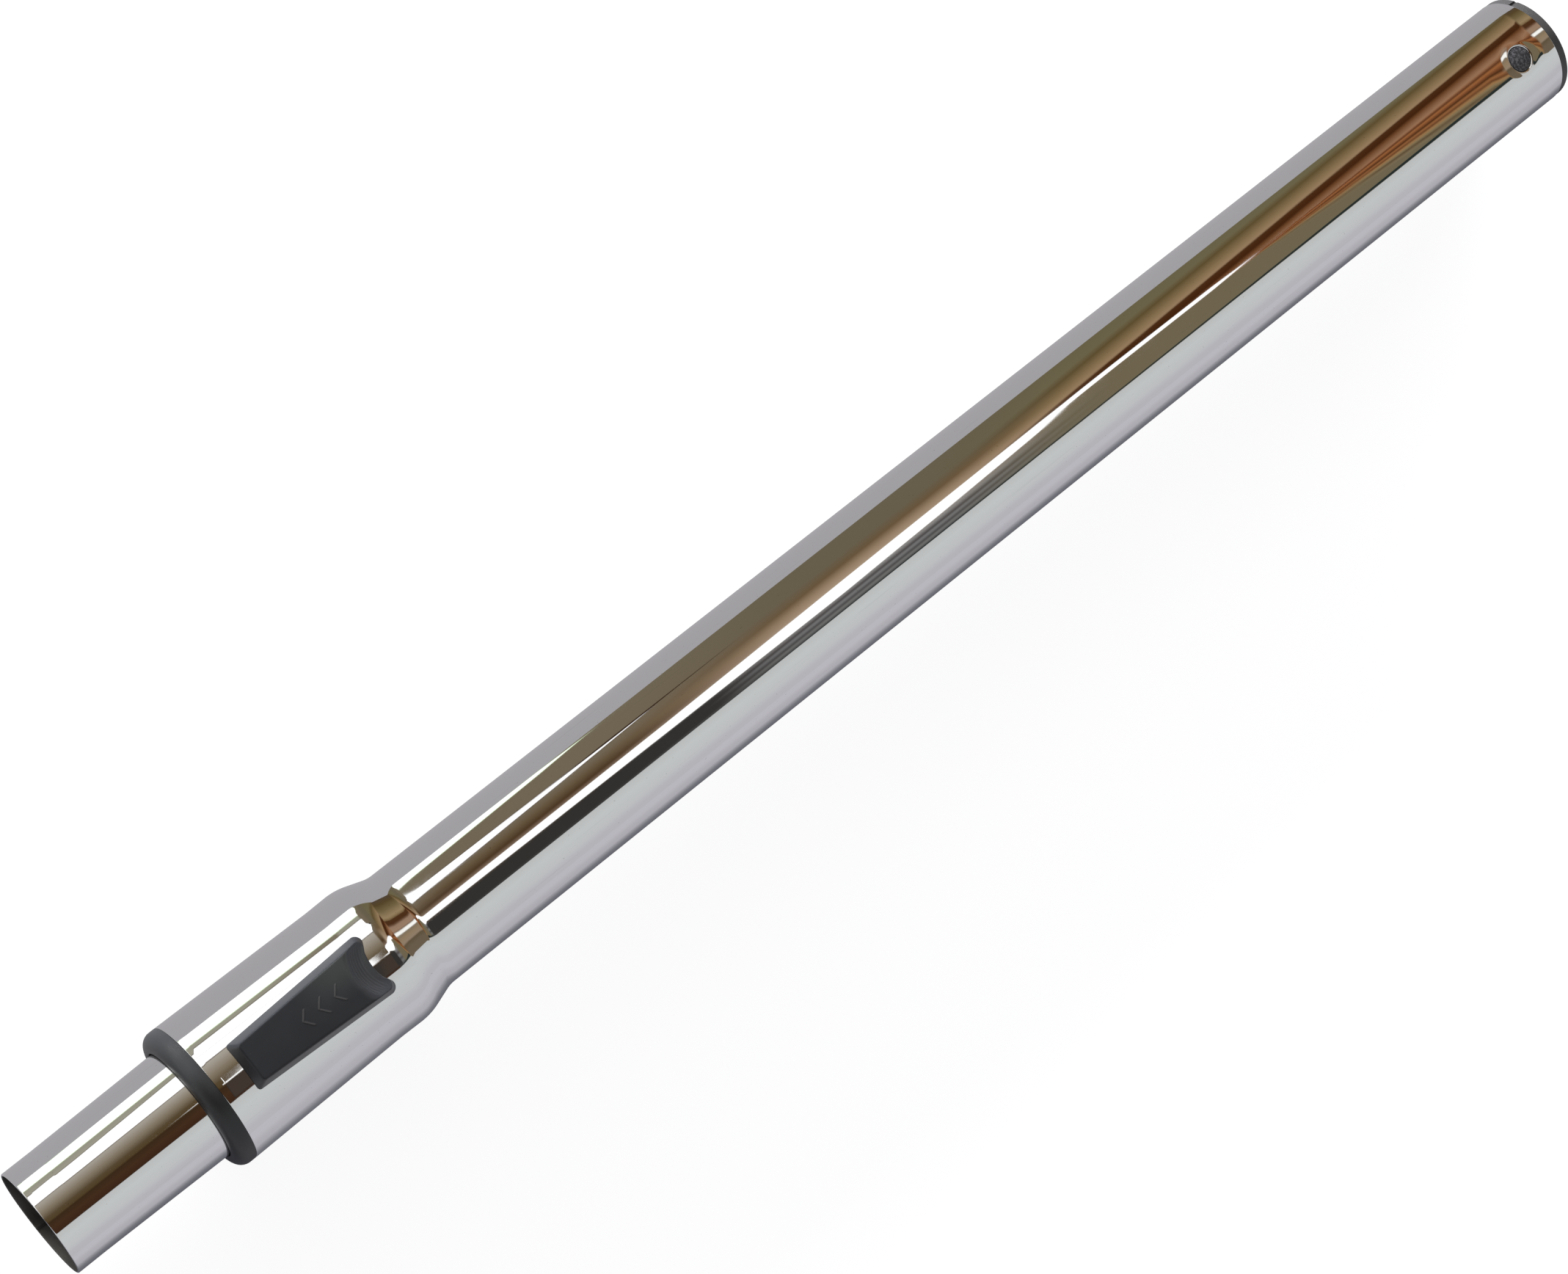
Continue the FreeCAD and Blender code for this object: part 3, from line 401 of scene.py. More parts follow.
def end_collar():
    """Moulded ring: a quarter circle from the bell's mouth over the nose to the tube."""
    skirt_start, skirt_outer, skirt_inner = 523.4, 20.66, 19.3
    bore, lip_start = INNER_RADIUS + 0.3, 530.4
    loop = np.vstack([
        [(skirt_start, skirt_inner), (skirt_start, skirt_outer), (BELL_END, skirt_outer)],
        arc((BELL_END + 0.2, MOUTH_RADIUS - 0.2), 0.2, 180, 90, 5),
        arc((COLLAR_END - COLLAR_NOSE, MOUTH_RADIUS - COLLAR_NOSE), COLLAR_NOSE, 90, 0, 20),
        arc((COLLAR_END - 0.3, bore + 0.3), 0.3, 0, -90, 6),
        [(lip_start, bore), (lip_start, skirt_inner)],
    ])
    return lathe("end_collar_ring", loop)


def button_loop(nose, horn, horn_round, arc_radius, steps=14):
    """Plan outline of the button: nose corners, horns, and a round hollow between the horns.

    The hollow is HOLLOW_CENTRE + radius * (cos, sin) of angles from 20 to -20 degrees.
    """
    hollow = arc((HOLLOW_CENTRE, 0), arc_radius, 20, -20, 2 * steps)
    corners = [(nose[0], 0, 0), (*nose, 0.9), (*horn, horn_round), (*hollow[0], 0)]
    side = rounded(corners, steps)[1:-1]
    run = np.linspace(side[steps - 1], side[steps], 40)[1:-1]
    side = np.vstack([side[:steps], run, side[steps:]])
    front = np.linspace(-side[0, 1], side[0, 1], 16)[1:-1]
    front = np.stack([np.full(14, side[0, 0]), front], 1)
    return np.vstack([side, hollow, side[::-1] * (1, -1), front])


def button_height(plan):
    """Height of the button's top over its plan: a plane that the thumb scoop cuts into.

    With the share of the way from the scoop's upper edge circle to the hollow at its foot,
    the scoop falls by depth * (1 - (1 - share) to the power 1.3), and runs on upwards
    outside the circle. The lower of the two heights counts, with a soft edge between.
    """
    top = HORN_HEIGHT + (NOSE_HEIGHT - HORN_HEIGHT) * (plan[..., 0] - HORN_X) / (NOSE_X - HORN_X)
    top = top - 0.10 * (plan[..., 1] / HORN_HALF) ** 2
    inside = SCOOP_EDGE_RADIUS - np.hypot(plan[..., 0] - SCOOP_CENTRE, plan[..., 1])
    past = np.hypot(plan[..., 0] - HOLLOW_CENTRE, plan[..., 1]) - HOLLOW_RADIUS
    share = np.clip(inside / np.maximum(np.maximum(inside, 0) + np.maximum(past, 0), 1e-6), 0, 1)
    fall = (top - SCOOP_FOOT) * (1 - (1 - share) ** 1.3)
    wall = np.where(inside > 0, top - fall, top - 1.4 * inside)
    return soft_lower(top, wall, 0.3)


def block(corners, low, high):
    """Closed block on four plan corners, from one height to another."""
    below = np.column_stack([corners, np.broadcast_to(low, 4)])
    above = np.column_stack([corners, np.broadcast_to(high, 4)])
    faces = [(0, 1, 2, 3), (7, 6, 5, 4), (0, 4, 5, 1), (1, 5, 6, 2), (2, 6, 7, 3), (3, 7, 4, 0)]
    return np.vstack([below, above]), np.array(faces)


def lock_button():
    """Hollow button: walls from the bell's round up to a rounded edge, then the top.

    Rows of points go up the wall, round the edge on a curve of second degree, in over the
    top to a spine, and the same way back inside. The foot lies a gap above the bell, at
    the square root of its radius squared less y squared. The two stepped catch arms inside
    and the arrows on top are blocks.
    """
    foot = button_loop((NOSE_X, NOSE_HALF), (HORN_X - 1.2, HORN_HALF), 2.0, HOLLOW_RADIUS)
    upper_hollow = HOLLOW_RADIUS + 0.35
    brim = button_loop(
        (NOSE_X - 1.7, NOSE_HALF - 1.5), (HORN_X - 0.85, HORN_HALF - 1.4), 1.8, upper_hollow)
    inner = button_loop(
        (NOSE_X - 3.5, NOSE_HALF - 3.0), (SCOOP_END, HORN_HALF - 3.2), 0.9, upper_hollow)
    inner[:, 0] = np.clip(inner[:, 0], SCOOP_END, None)

    def bell_gap(plan):
        radius = NECK_RADIUS + BELL_SLOPE * (plan[:, 0] + BUTTON_TRAVEL - BELL_NECK) + BUTTON_GAP
        return np.sqrt(radius**2 - plan[:, 1] ** 2)

    def spine(plan):
        return np.stack([np.clip(plan[:, 0], *SPINE_ENDS), 0 * plan[:, 0]], 1)

    def shell(low, rim, height, steps, edge):
        """Rows up from the low loop, over the rim and in to the spine."""
        top = np.column_stack([rim, height(rim)])
        wall = np.column_stack([low, bell_gap(low)])
        inward = rim + (spine(rim) - rim) * edge / np.linalg.norm(spine(rim) - rim, axis=1)[:, None]
        after = np.column_stack([inward, height(inward)])
        before = top + (wall - top) * edge / np.linalg.norm(wall - top, axis=1)[:, None]
        rise = np.linspace(0, 1, 6)[:-1, None, None]
        turn = np.linspace(0, 1, 7)[:-1, None, None]
        run = np.linspace(0, 1, steps)[:, None, None]
        up = wall + (before - wall) * rise
        over = (1 - turn) ** 2 * before + 2 * turn * (1 - turn) * top + turn**2 * after
        plan = inward + (spine(inward) - inward) * run
        return np.concatenate([up, over, np.concatenate([plan, height(plan)[..., None]], -1)])

    outside = shell(foot, brim, button_height, 44, EDGE_ROUND)
    within = shell(inner, inner, lambda plan: button_height(plan) - BUTTON_WALL, 12, 0.1)
    rows = np.concatenate([outside[::-1], within])
    patches = [(rows, grid_faces(rows.shape, close_columns=True))]
    rear, front = CATCH_ENDS
    for side in (-1, 1):
        for near, far, rise in CATCH_STEPS:
            catch = np.array([(rear, near), (front, near), (front, far), (rear, far)]) * (1, side)
            patches.append(block(catch, CATCH_LOW, CATCH_LOW + rise))
        for apex in ARROW_PLACES:
            arm = np.array([(0, 0), (-2.0, 2.5), (-2.5, 2.5), (-0.5, 0)]) * (1, side) + (apex, 0)
            top = button_height(arm)
            patches.append(block(arm, top - 0.2, top + 0.06))
    return surface("lock_button_skin", patches, 32)


outer, ring, inner, button = outer_tube(), end_collar(), inner_tube(), lock_button()
for piece, node, body, finish in (
    (outer, "outer_tube", "wand_outer", "chromed_steel"),
    (ring, "end_collar", "wand_outer", "black_plastic"),
    (inner, "inner_tube", "wand_inner", "chromed_steel"),
    (button, "lock_button", "button_group", "black_plastic"),
):
    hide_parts(node)
    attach(piece, body)


def shader_tree(material):
    """Empties a material and gives back its node tree, its shader and its output."""
    material.use_nodes = True
    tree = material.node_tree
    tree.nodes.clear()
    output = tree.nodes.new("ShaderNodeOutputMaterial")
    shader = tree.nodes.new("ShaderNodeBsdfPrincipled")
    tree.links.new(shader.outputs["BSDF"], output.inputs["Surface"])
    return tree, shader, output


def feed(tree, socket, value):
    """Links a socket to another one, or sets it to a plain number or colour."""
    if isinstance(value, bpy.types.NodeSocket):
        tree.links.new(value, socket)
    elif isinstance(value, tuple):
        socket.default_value = (*value, 1)
    else:
        socket.default_value = value


def feed_all(tree, node, values):
    """Feeds the inputs of a node that are named in a dictionary."""
    for label, value in values.items():
        feed(tree, node.inputs[label], value)


def number(tree, operation, *values):
    """A Math node worked out on sockets or plain numbers; gives back its output."""
    node = tree.nodes.new("ShaderNodeMath")
    node.operation = operation
    for index, value in enumerate(values):
        feed(tree, node.inputs[index], value)
    return node.outputs[0]


def coordinates_of(tree, socket):
    """The X, Y and Z of a vector."""
    node = tree.nodes.new("ShaderNodeSeparateXYZ")
    tree.links.new(socket, node.inputs[0])
    return node.outputs


def ramp(tree, factor, stops):
    """Colour ramp through stops given as (place, colour)."""
    node = tree.nodes.new("ShaderNodeValToRGB")
    elements = node.color_ramp.elements
    elements[0].position, elements[0].color = stops[0][0], (*stops[0][1], 1)
    elements[1].position, elements[1].color = stops[-1][0], (*stops[-1][1], 1)
    for place, colour in stops[1:-1]:
        elements.new(place).color = (*colour, 1)
    tree.links.new(factor, node.inputs[0])
    return node.outputs["Color"]


def blend_colour(tree, factor, first, second):
    """Mix of two colours, each a socket or a plain colour."""
    node = tree.nodes.new("ShaderNodeMix")
    node.data_type = "RGBA"
    colour_inputs = [s for s in node.inputs if s.type == "RGBA"]
    factor_input = [s for s in node.inputs if s.type == "VALUE"][0]
    for socket, value in zip([factor_input] + colour_inputs, (factor, first, second)):
        feed(tree, socket, value)
    return [s for s in node.outputs if s.type == "RGBA"][0]


def tone(red, green, blue):
    """Linear colour of one written as it shows, from 0 to 255 each."""
    return tuple(
        ((level / 255 + 0.055) / 1.055) ** 2.4 if level > 10 else level / 255 / 12.92
        for level in (red, green, blue)
    )


def smooth_step(tree, value, low, high):
    """Zero below low, one above high, and three t squared less two t cubed between."""
    node = tree.nodes.new("ShaderNodeMapRange")
    node.interpolation_type = "SMOOTHSTEP"
    feed_all(tree, node, {"Value": value, "From Min": low, "From Max": high})
    return node.outputs[0]


def smooth_fall(tree, value, low, high):
    """One less the smooth step: one below low and zero above high."""
    return number(tree, "SUBTRACT", 1.0, smooth_step(tree, value, low, high))


def strip(tree, value, centre, half_width, softness):
    """One within a half width of the centre, falling to zero over the softness."""
    away = number(tree, "ABSOLUTE", number(tree, "SUBTRACT", value, centre))
    past = number(tree, "SUBTRACT", away, half_width)
    return smooth_fall(tree, past, -softness, softness)


def times(tree, *factors):
    """Product of sockets or plain numbers."""
    product = factors[0]
    for factor in factors[1:]:
        product = number(tree, "MULTIPLY", product, factor)
    return product


# Shader groups, each one effect with its own inputs

def new_group(name, label, value, results):
    """Empty shader group that takes coordinates and one number, and gives back numbers."""
    group = bpy.data.node_groups.new(name, "ShaderNodeTree")
    add = group.interface.new_socket
    add("Coordinates", in_out="INPUT", socket_type="NodeSocketVector")
    add(label, in_out="INPUT", socket_type="NodeSocketFloat").default_value = value
    for result in results:
        add(result, in_out="OUTPUT", socket_type="NodeSocketFloat")
    given = group.nodes.new("NodeGroupInput").outputs
    return group, given["Coordinates"], given[label], group.nodes.new("NodeGroupOutput")


def place(tree, group, coordinates, **values):
    """The group as a node of a material, fed with coordinates and its own values."""
    node = tree.nodes.new("ShaderNodeGroup")
    node.node_tree = group
    feed_all(tree, node, {"Coordinates": coordinates, **values})
    return node


def noise(tree, coordinates, scale, stretch=(1, 1, 1), detail=3, roughness=0.5):
    """Noise on coordinates first stretched along each axis; gives back its value."""
    mapping = tree.nodes.new("ShaderNodeMapping")
    mapping.inputs["Scale"].default_value = stretch
    tree.links.new(coordinates, mapping.inputs["Vector"])
    node = tree.nodes.new("ShaderNodeTexNoise")
    feed_all(tree, node, {
        "Vector": mapping.outputs[0], "Scale": scale, "Detail": detail, "Roughness": roughness,
    })
    return node.outputs[0]


def drawn_lines_group():
    """Long fine lines that drawing and polishing leave along a tube, and faint cross swirls.

    Lines are noise stretched fifty times along X. The mask is where they are deepest.
    """
    group, places, scale, result = new_group("drawn_lines", "Scale", 900.0, ("Height", "Mask"))
    lines = noise(group, places, scale, (0.02, 1, 1), 2)
    swirls = noise(group, places, scale, (0.3, 0.9, 0.1), 2)
    height = number(group, "MULTIPLY_ADD", swirls, 0.4, lines)
    feed_all(group, result, {"Height": height, "Mask": smooth_step(group, lines, 0.62, 0.80)})
    return group


def soft_waves_group():
    """Slow unevenness of a drawn tube: noise about 2 cm across and twice as long along X."""
    group, places, scale, result = new_group("soft_waves", "Scale", 60.0, ("Height",))
    feed(group, result.inputs["Height"], noise(group, places, scale, (0.5, 1, 1), 1))
    return group


def moulded_grain_group():
    """Fine sparked grain of a mould: two noises, one three times finer than the other."""
    group, places, scale, result = new_group("moulded_grain", "Scale", 3000.0, ("Height", "Cloud"))
    coarse = noise(group, places, scale, detail=2, roughness=0.6)
    fine = noise(group, places, times(group, scale, 3.0))
    height = number(group, "MULTIPLY_ADD", fine, 0.5, coarse)
    feed_all(group, result, {"Height": height, "Cloud": noise(group, places, 120.0)})
    return group


def handling_dust_group():
    """Fine specks and a thin film of dust: noise cut high for specks and low for the film."""
    group, places, amount, result = new_group("handling_dust", "Amount", 0.5, ("Specks", "Film"))
    specks = smooth_step(group, noise(group, places, 1600.0, detail=1), 0.74, 0.80)
    film = smooth_step(group, noise(group, places, 90.0, detail=4, roughness=0.65), 0.35, 0.75)
    for label, mask in (("Specks", specks), ("Film", film)):
        feed(group, result.inputs[label], times(group, mask, amount))
    return group


DRAWN_LINES = drawn_lines_group()
SOFT_WAVES = soft_waves_group()
MOULDED_GRAIN = moulded_grain_group()
HANDLING_DUST = handling_dust_group()


def start_material(name):
    material = bpy.data.materials.new(name)
    tree, shader, _ = shader_tree(material)
    return material, tree, shader, tree.nodes.new("ShaderNodeTexCoord")


def bump(tree, height, distance, beneath=None):
    """Normal bent by a height in units of the distance, on top of another normal."""
    node = tree.nodes.new("ShaderNodeBump")
    feed_all(tree, node, {"Distance": distance, "Height": height})
    if beneath is not None:
        tree.links.new(beneath, node.inputs["Normal"])
    return node.outputs[0]


def between(tree, factor, low, high):
    """Number that goes from low to high as the factor goes from zero to one."""
    return number(tree, "MULTIPLY_ADD", factor, high - low, low)


def polished_chrome():
    """Mirror chrome: drawn lines and slow waves in the normal, dust film in the roughness."""
    material, tree, shader, coords = start_material("polished_chrome")
    places = coords.outputs["Object"]
    lines = place(tree, DRAWN_LINES, places, Scale=1100.0)
    waves = place(tree, SOFT_WAVES, places, Scale=55.0)
    dust = place(tree, HANDLING_DUST, places, Amount=1.0)
    colour = blend_colour(tree, lines.outputs["Mask"], (CHROME_SHARE,) * 3, (0.76, 0.76, 0.76))
    specks = times(tree, dust.outputs["Specks"], 0.5)
    rough = between(tree, dust.outputs["Film"], 0.025, 0.055)
    normal = bump(tree, waves.outputs["Height"], 2.0e-5)
    feed_all(tree, shader, {
        "Base Color": blend_colour(tree, specks, colour, (0.45, 0.44, 0.42)),
        "Metallic": 1.0,
        "Roughness": number(tree, "MULTIPLY_ADD", lines.outputs["Mask"], 0.05, rough),
        "Normal": bump(tree, lines.outputs["Height"], 5.0e-7, normal),
    })
    return material


def bare_bore():
    """Unplated inside of a tube: dull steel with stains and a weld seam along the bottom."""
    material, tree, shader, coords = start_material("bare_steel_bore")
    places = coords.outputs["Object"]
    lines = place(tree, DRAWN_LINES, places, Scale=500.0)
    _, y, z = coordinates_of(tree, places)
    stains = noise(tree, places, 70.0, (0.4, 1, 1), 4, 0.6)
    below = smooth_fall(tree, z, -0.014, -0.012)
    seam = times(tree, strip(tree, y, 0.0016, 0.0005, 0.0003), below)
    colour = blend_colour(tree, stains, (0.070, 0.067, 0.064), (0.125, 0.12, 0.11))
    height = number(tree, "ADD", lines.outputs["Height"], times(tree, seam, 4.0))
    feed_all(tree, shader, {
        "Base Color": blend_colour(tree, times(tree, seam, 0.7), colour, (0.035, 0.032, 0.03)),
        "Metallic": 0.7,
        "Roughness": between(tree, stains, 0.35, 0.60),
        "Normal": bump(tree, height, 8.0e-6),
    })
    return material


def moulded(
    name, colour, roughness, grain, depth, dust_amount=0.5, dust_colour=(0.10, 0.10, 0.10),
):
    """Moulded plastic or rubber: grained normal, cloudy colour and gloss, a little dust.

    Gives back the material, its tree, shader and coordinates, and its colour and normal
    sockets, so that a piece can lay its own marks over them.
    """
    material, tree, shader, coords = start_material(name)
    places = coords.outputs["Object"]
    skin = place(tree, MOULDED_GRAIN, places, Scale=grain)
    dust = place(tree, HANDLING_DUST, places, Amount=dust_amount)
    lighter = tuple(level * 1.25 for level in colour)
    mixed = blend_colour(tree, skin.outputs["Cloud"], colour, lighter)
    for layer, share in (("Specks", 0.4), ("Film", 0.06)):
        share = times(tree, dust.outputs[layer], share)
        mixed = blend_colour(tree, share, mixed, dust_colour)
    rough = between(tree, skin.outputs["Cloud"], roughness - 0.05, roughness + 0.05)
    rough = number(tree, "MULTIPLY_ADD", dust.outputs["Film"], 0.06, rough)
    soft_edge = tree.nodes.new("ShaderNodeBevel")
    soft_edge.samples = 4
    soft_edge.inputs["Radius"].default_value = 0.0003
    normal = bump(tree, skin.outputs["Height"], depth, soft_edge.outputs[0])
    feed_all(tree, shader, {"Base Color": mixed, "Roughness": rough, "Normal": normal})
    return material, tree, shader, coords, mixed, normal


def button_plastic():
    """The button's plastic, with finger ridging in the scoop, arrow ribs and a painted sheen on
    top.

    The scoop's ridging is a sine of height on faces that look towards -X, and its crests are
    painted paler as a highlight. The arrows are bands of x plus 0.8 times the distance from the
    middle, repeated at a pitch, painted paler on top as a highlight. Near the left horn, on the
    -Y side, the top is painted paler as a sheen where light falls.
    """
    material, tree, shader, coords, colour, normal = moulded(
        "button_plastic", (0.013, 0.0145, 0.018), 0.36, 2600.0, 8.0e-6)
    x, y, z = coordinates_of(tree, coords.outputs["Object"])
    facing_x, _, facing_z = coordinates_of(tree, coords.outputs["Normal"])
    away = number(tree, "ABSOLUTE", y)
    upwards = smooth_step(tree, facing_z, 0.8, 0.9)
    wall = times(
        tree, smooth_step(tree, times(tree, facing_x, -1.0), 0.35, 0.5),
        smooth_step(tree, z, 0.0218, 0.0223), smooth_fall(tree, z, 0.0252, 0.0258),
        smooth_fall(tree, away, 0.0055, 0.0075),
    )
    ridge_pitch, arrow_pitch = 0.00062, 0.0052
    # Ridges in the scoop wall: a bump, and their crests painted paler as a highlight.
    ridges_and_highlight = number(tree, "SINE", times(tree, z, 2 * math.pi / ridge_pitch))
    ridges_and_highlight = times(tree, number(tree, "MULTIPLY_ADD", ridges_and_highlight, 0.5, 0.5), wall)
    # Arrow mask: the upward faces of the arrow ribs are painted paler, a painted highlight.
    reach = number(tree, "SUBTRACT", x, ARROW_PLACES[0] / 1000)
    reach = number(tree, "MULTIPLY_ADD", away, 0.8, reach)
    beat = number(tree, "WRAP", reach, arrow_pitch / 2, -arrow_pitch / 2)
    arrows = times(
        tree, strip(tree, beat, -0.0002, 0.00025, 0.0001),
        strip(tree, reach, -arrow_pitch, 0.0068, 0.0002),
        smooth_fall(tree, away, 0.0024, 0.0026), upwards,
    )
    # Painted sheen: the top is painted paler near the horns on the -Y side, where light falls.
    painted_sheen = times(
        tree, smooth_fall(tree, x, 0.484, 0.500), smooth_fall(tree, y, -0.006, 0.004), upwards)
    # Each mask paints light: the sheen on the top, and highlights on the arrow ribs and ridge
    # crests.
    for mask, share, paler in (
        (painted_sheen, 0.6, (0.048, 0.053, 0.050)),
        (arrows, 0.5, (0.075, 0.07, 0.07)),
        (ridges_and_highlight, 0.12, (0.055, 0.055, 0.055)),
    ):
        colour = blend_colour(tree, times(tree, mask, share), colour, paler)
    feed_all(tree, shader, {"Base Color": colour, "Normal": bump(tree, ridges_and_highlight, 6.0e-5, normal)})
    return material


def liner_plastic():
    """The liner's plastic, its stud's face mottled where the tube's polishing has rubbed it."""
    material, tree, shader, coords, colour, normal = moulded(
        "liner_plastic", (0.030, 0.030, 0.031), 0.42, 2200.0, 5.0e-6)
    places = coords.outputs["Object"]
    x, y, z = coordinates_of(tree, places)
    radius = number(tree, "SQRT", number(tree, "MULTIPLY_ADD", y, y, times(tree, z, z)))
    face = smooth_step(tree, radius, 0.01745, 0.01755)
    face = times(tree, face, strip(tree, x, HOLE_X / 1000, 0.0042, 0.0001))
    mottle = smooth_step(tree, noise(tree, places, 1500.0, roughness=0.6), 0.40, 0.66)
    marked = blend_colour(tree, mottle, (0.016, 0.017, 0.021), (0.070, 0.070, 0.078))
    feed_all(tree, shader, {
        "Base Color": blend_colour(tree, face, colour, marked),
        "Normal": bump(tree, times(tree, mottle, face), 2.0e-5, normal),
    })
    return material


def plain_steel(name, colour, roughness, scale, depth):
    """Small steel part: lines in the normal and a cloudy tarnish in colour and roughness."""
    material, tree, shader, coords = start_material(name)
    places = coords.outputs["Object"]
    lines = place(tree, DRAWN_LINES, places, Scale=scale)
    tarnish = noise(tree, places, 400.0, detail=4, roughness=0.6)
    darker = tuple(level * 0.7 for level in colour)
    feed_all(tree, shader, {
        "Base Color": blend_colour(tree, tarnish, darker, colour),
        "Metallic": 1.0,
        "Roughness": between(tree, tarnish, roughness + 0.08, roughness - 0.05),
        "Normal": bump(tree, lines.outputs["Height"], depth),
    })
    return material


chrome, bore = polished_chrome(), bare_bore()
collar_plastic = moulded("collar_plastic", (0.015, 0.016, 0.0175), 0.40, 3200.0, 4.0e-6)[0]
pale_plastic = moulded(
    "pale_acetal", (0.66, 0.65, 0.60), 0.38, 2500.0, 4.0e-6, 0.6, (0.35, 0.33, 0.30))[0]
slide_plastic = moulded(
    "grey_acetal", (0.36, 0.37, 0.38), 0.36, 2500.0, 4.0e-6, 0.6, (0.2, 0.2, 0.19))[0]
rubber = moulded("black_rubber", (0.016, 0.016, 0.017), 0.70, 1800.0, 1.2e-5, 0.9)[0]
ground_steel = plain_steel("ground_steel", (0.60, 0.59, 0.57), 0.22, 2500.0, 1.0e-6)
plated_steel = plain_steel("zinc_plated_steel", (0.58, 0.58, 0.60), 0.34, 1500.0, 2.0e-6)
spring_steel = plain_steel("spring_steel", (0.42, 0.41, 0.40), 0.30, 3000.0, 1.0e-6)

for node_name, material in {
    "socket_liner": liner_plastic(), "guide_sleeve": pale_plastic,
    "tail_shell_left": pale_plastic, "tail_shell_right": pale_plastic, "lock_slide": slide_plastic,
    "roller_cage": plated_steel, "lock_roller": ground_steel, "return_spring": spring_steel,
    "wiper_ring": rubber, "stop_buffer": rubber, "tail_seal": rubber,
}.items():
    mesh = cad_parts[node_name].data
    mesh.materials.clear()
    mesh.materials.append(material)

ring.data.materials.append(collar_plastic)
button.data.materials.append(button_plastic())
for tube in (outer, inner):
    tube.data.materials.append(chrome)
    tube.data.materials.append(bore)
    count = len(tube.data.polygons)
    facing, middle = np.empty(count * 3), np.empty(count * 3)
    tube.data.polygons.foreach_get("normal", facing)
    tube.data.polygons.foreach_get("center", middle)
    outward = (facing * middle).reshape(-1, 3)[:, 1:].sum(1)
    inward = outward < -0.3 * np.hypot(*middle.reshape(-1, 3)[:, 1:].T)
    tube.data.polygons.foreach_set("material_index", inward.astype(np.int32))

# Studio: pale floor, surroundings, two soft lamps

def shown(red, green, blue):
    """Light that the chrome gives back as the tone."""
    return tuple(level / CHROME_SHARE for level in tone(red, green, blue))


def angle_ramp(tree, angle, stops):
    """Ramp over angles in degrees from -180 to 180, stops given as (angle, tone shown)."""
    share = number(tree, "MULTIPLY_ADD", angle, 1 / 360, 0.5)
    return ramp(tree, share, [(0.5 + degrees / 360, shown(*colour)) for degrees, colour in stops])


def along(tree, socket, points):
    """Number that goes straight from one given (place, value) to the next, values -90 to 90."""
    first, last = points[0][0], points[-1][0]
    spread = tree.nodes.new("ShaderNodeMapRange")
    feed_all(tree, spread, {"Value": socket, "From Min": first, "From Max": last})
    stops = [((at - first) / (last - first), (value / 180 + 0.5,) * 3) for at, value in points]
    return number(tree, "MULTIPLY_ADD", ramp(tree, spread.outputs[0], stops), 180.0, -90.0)


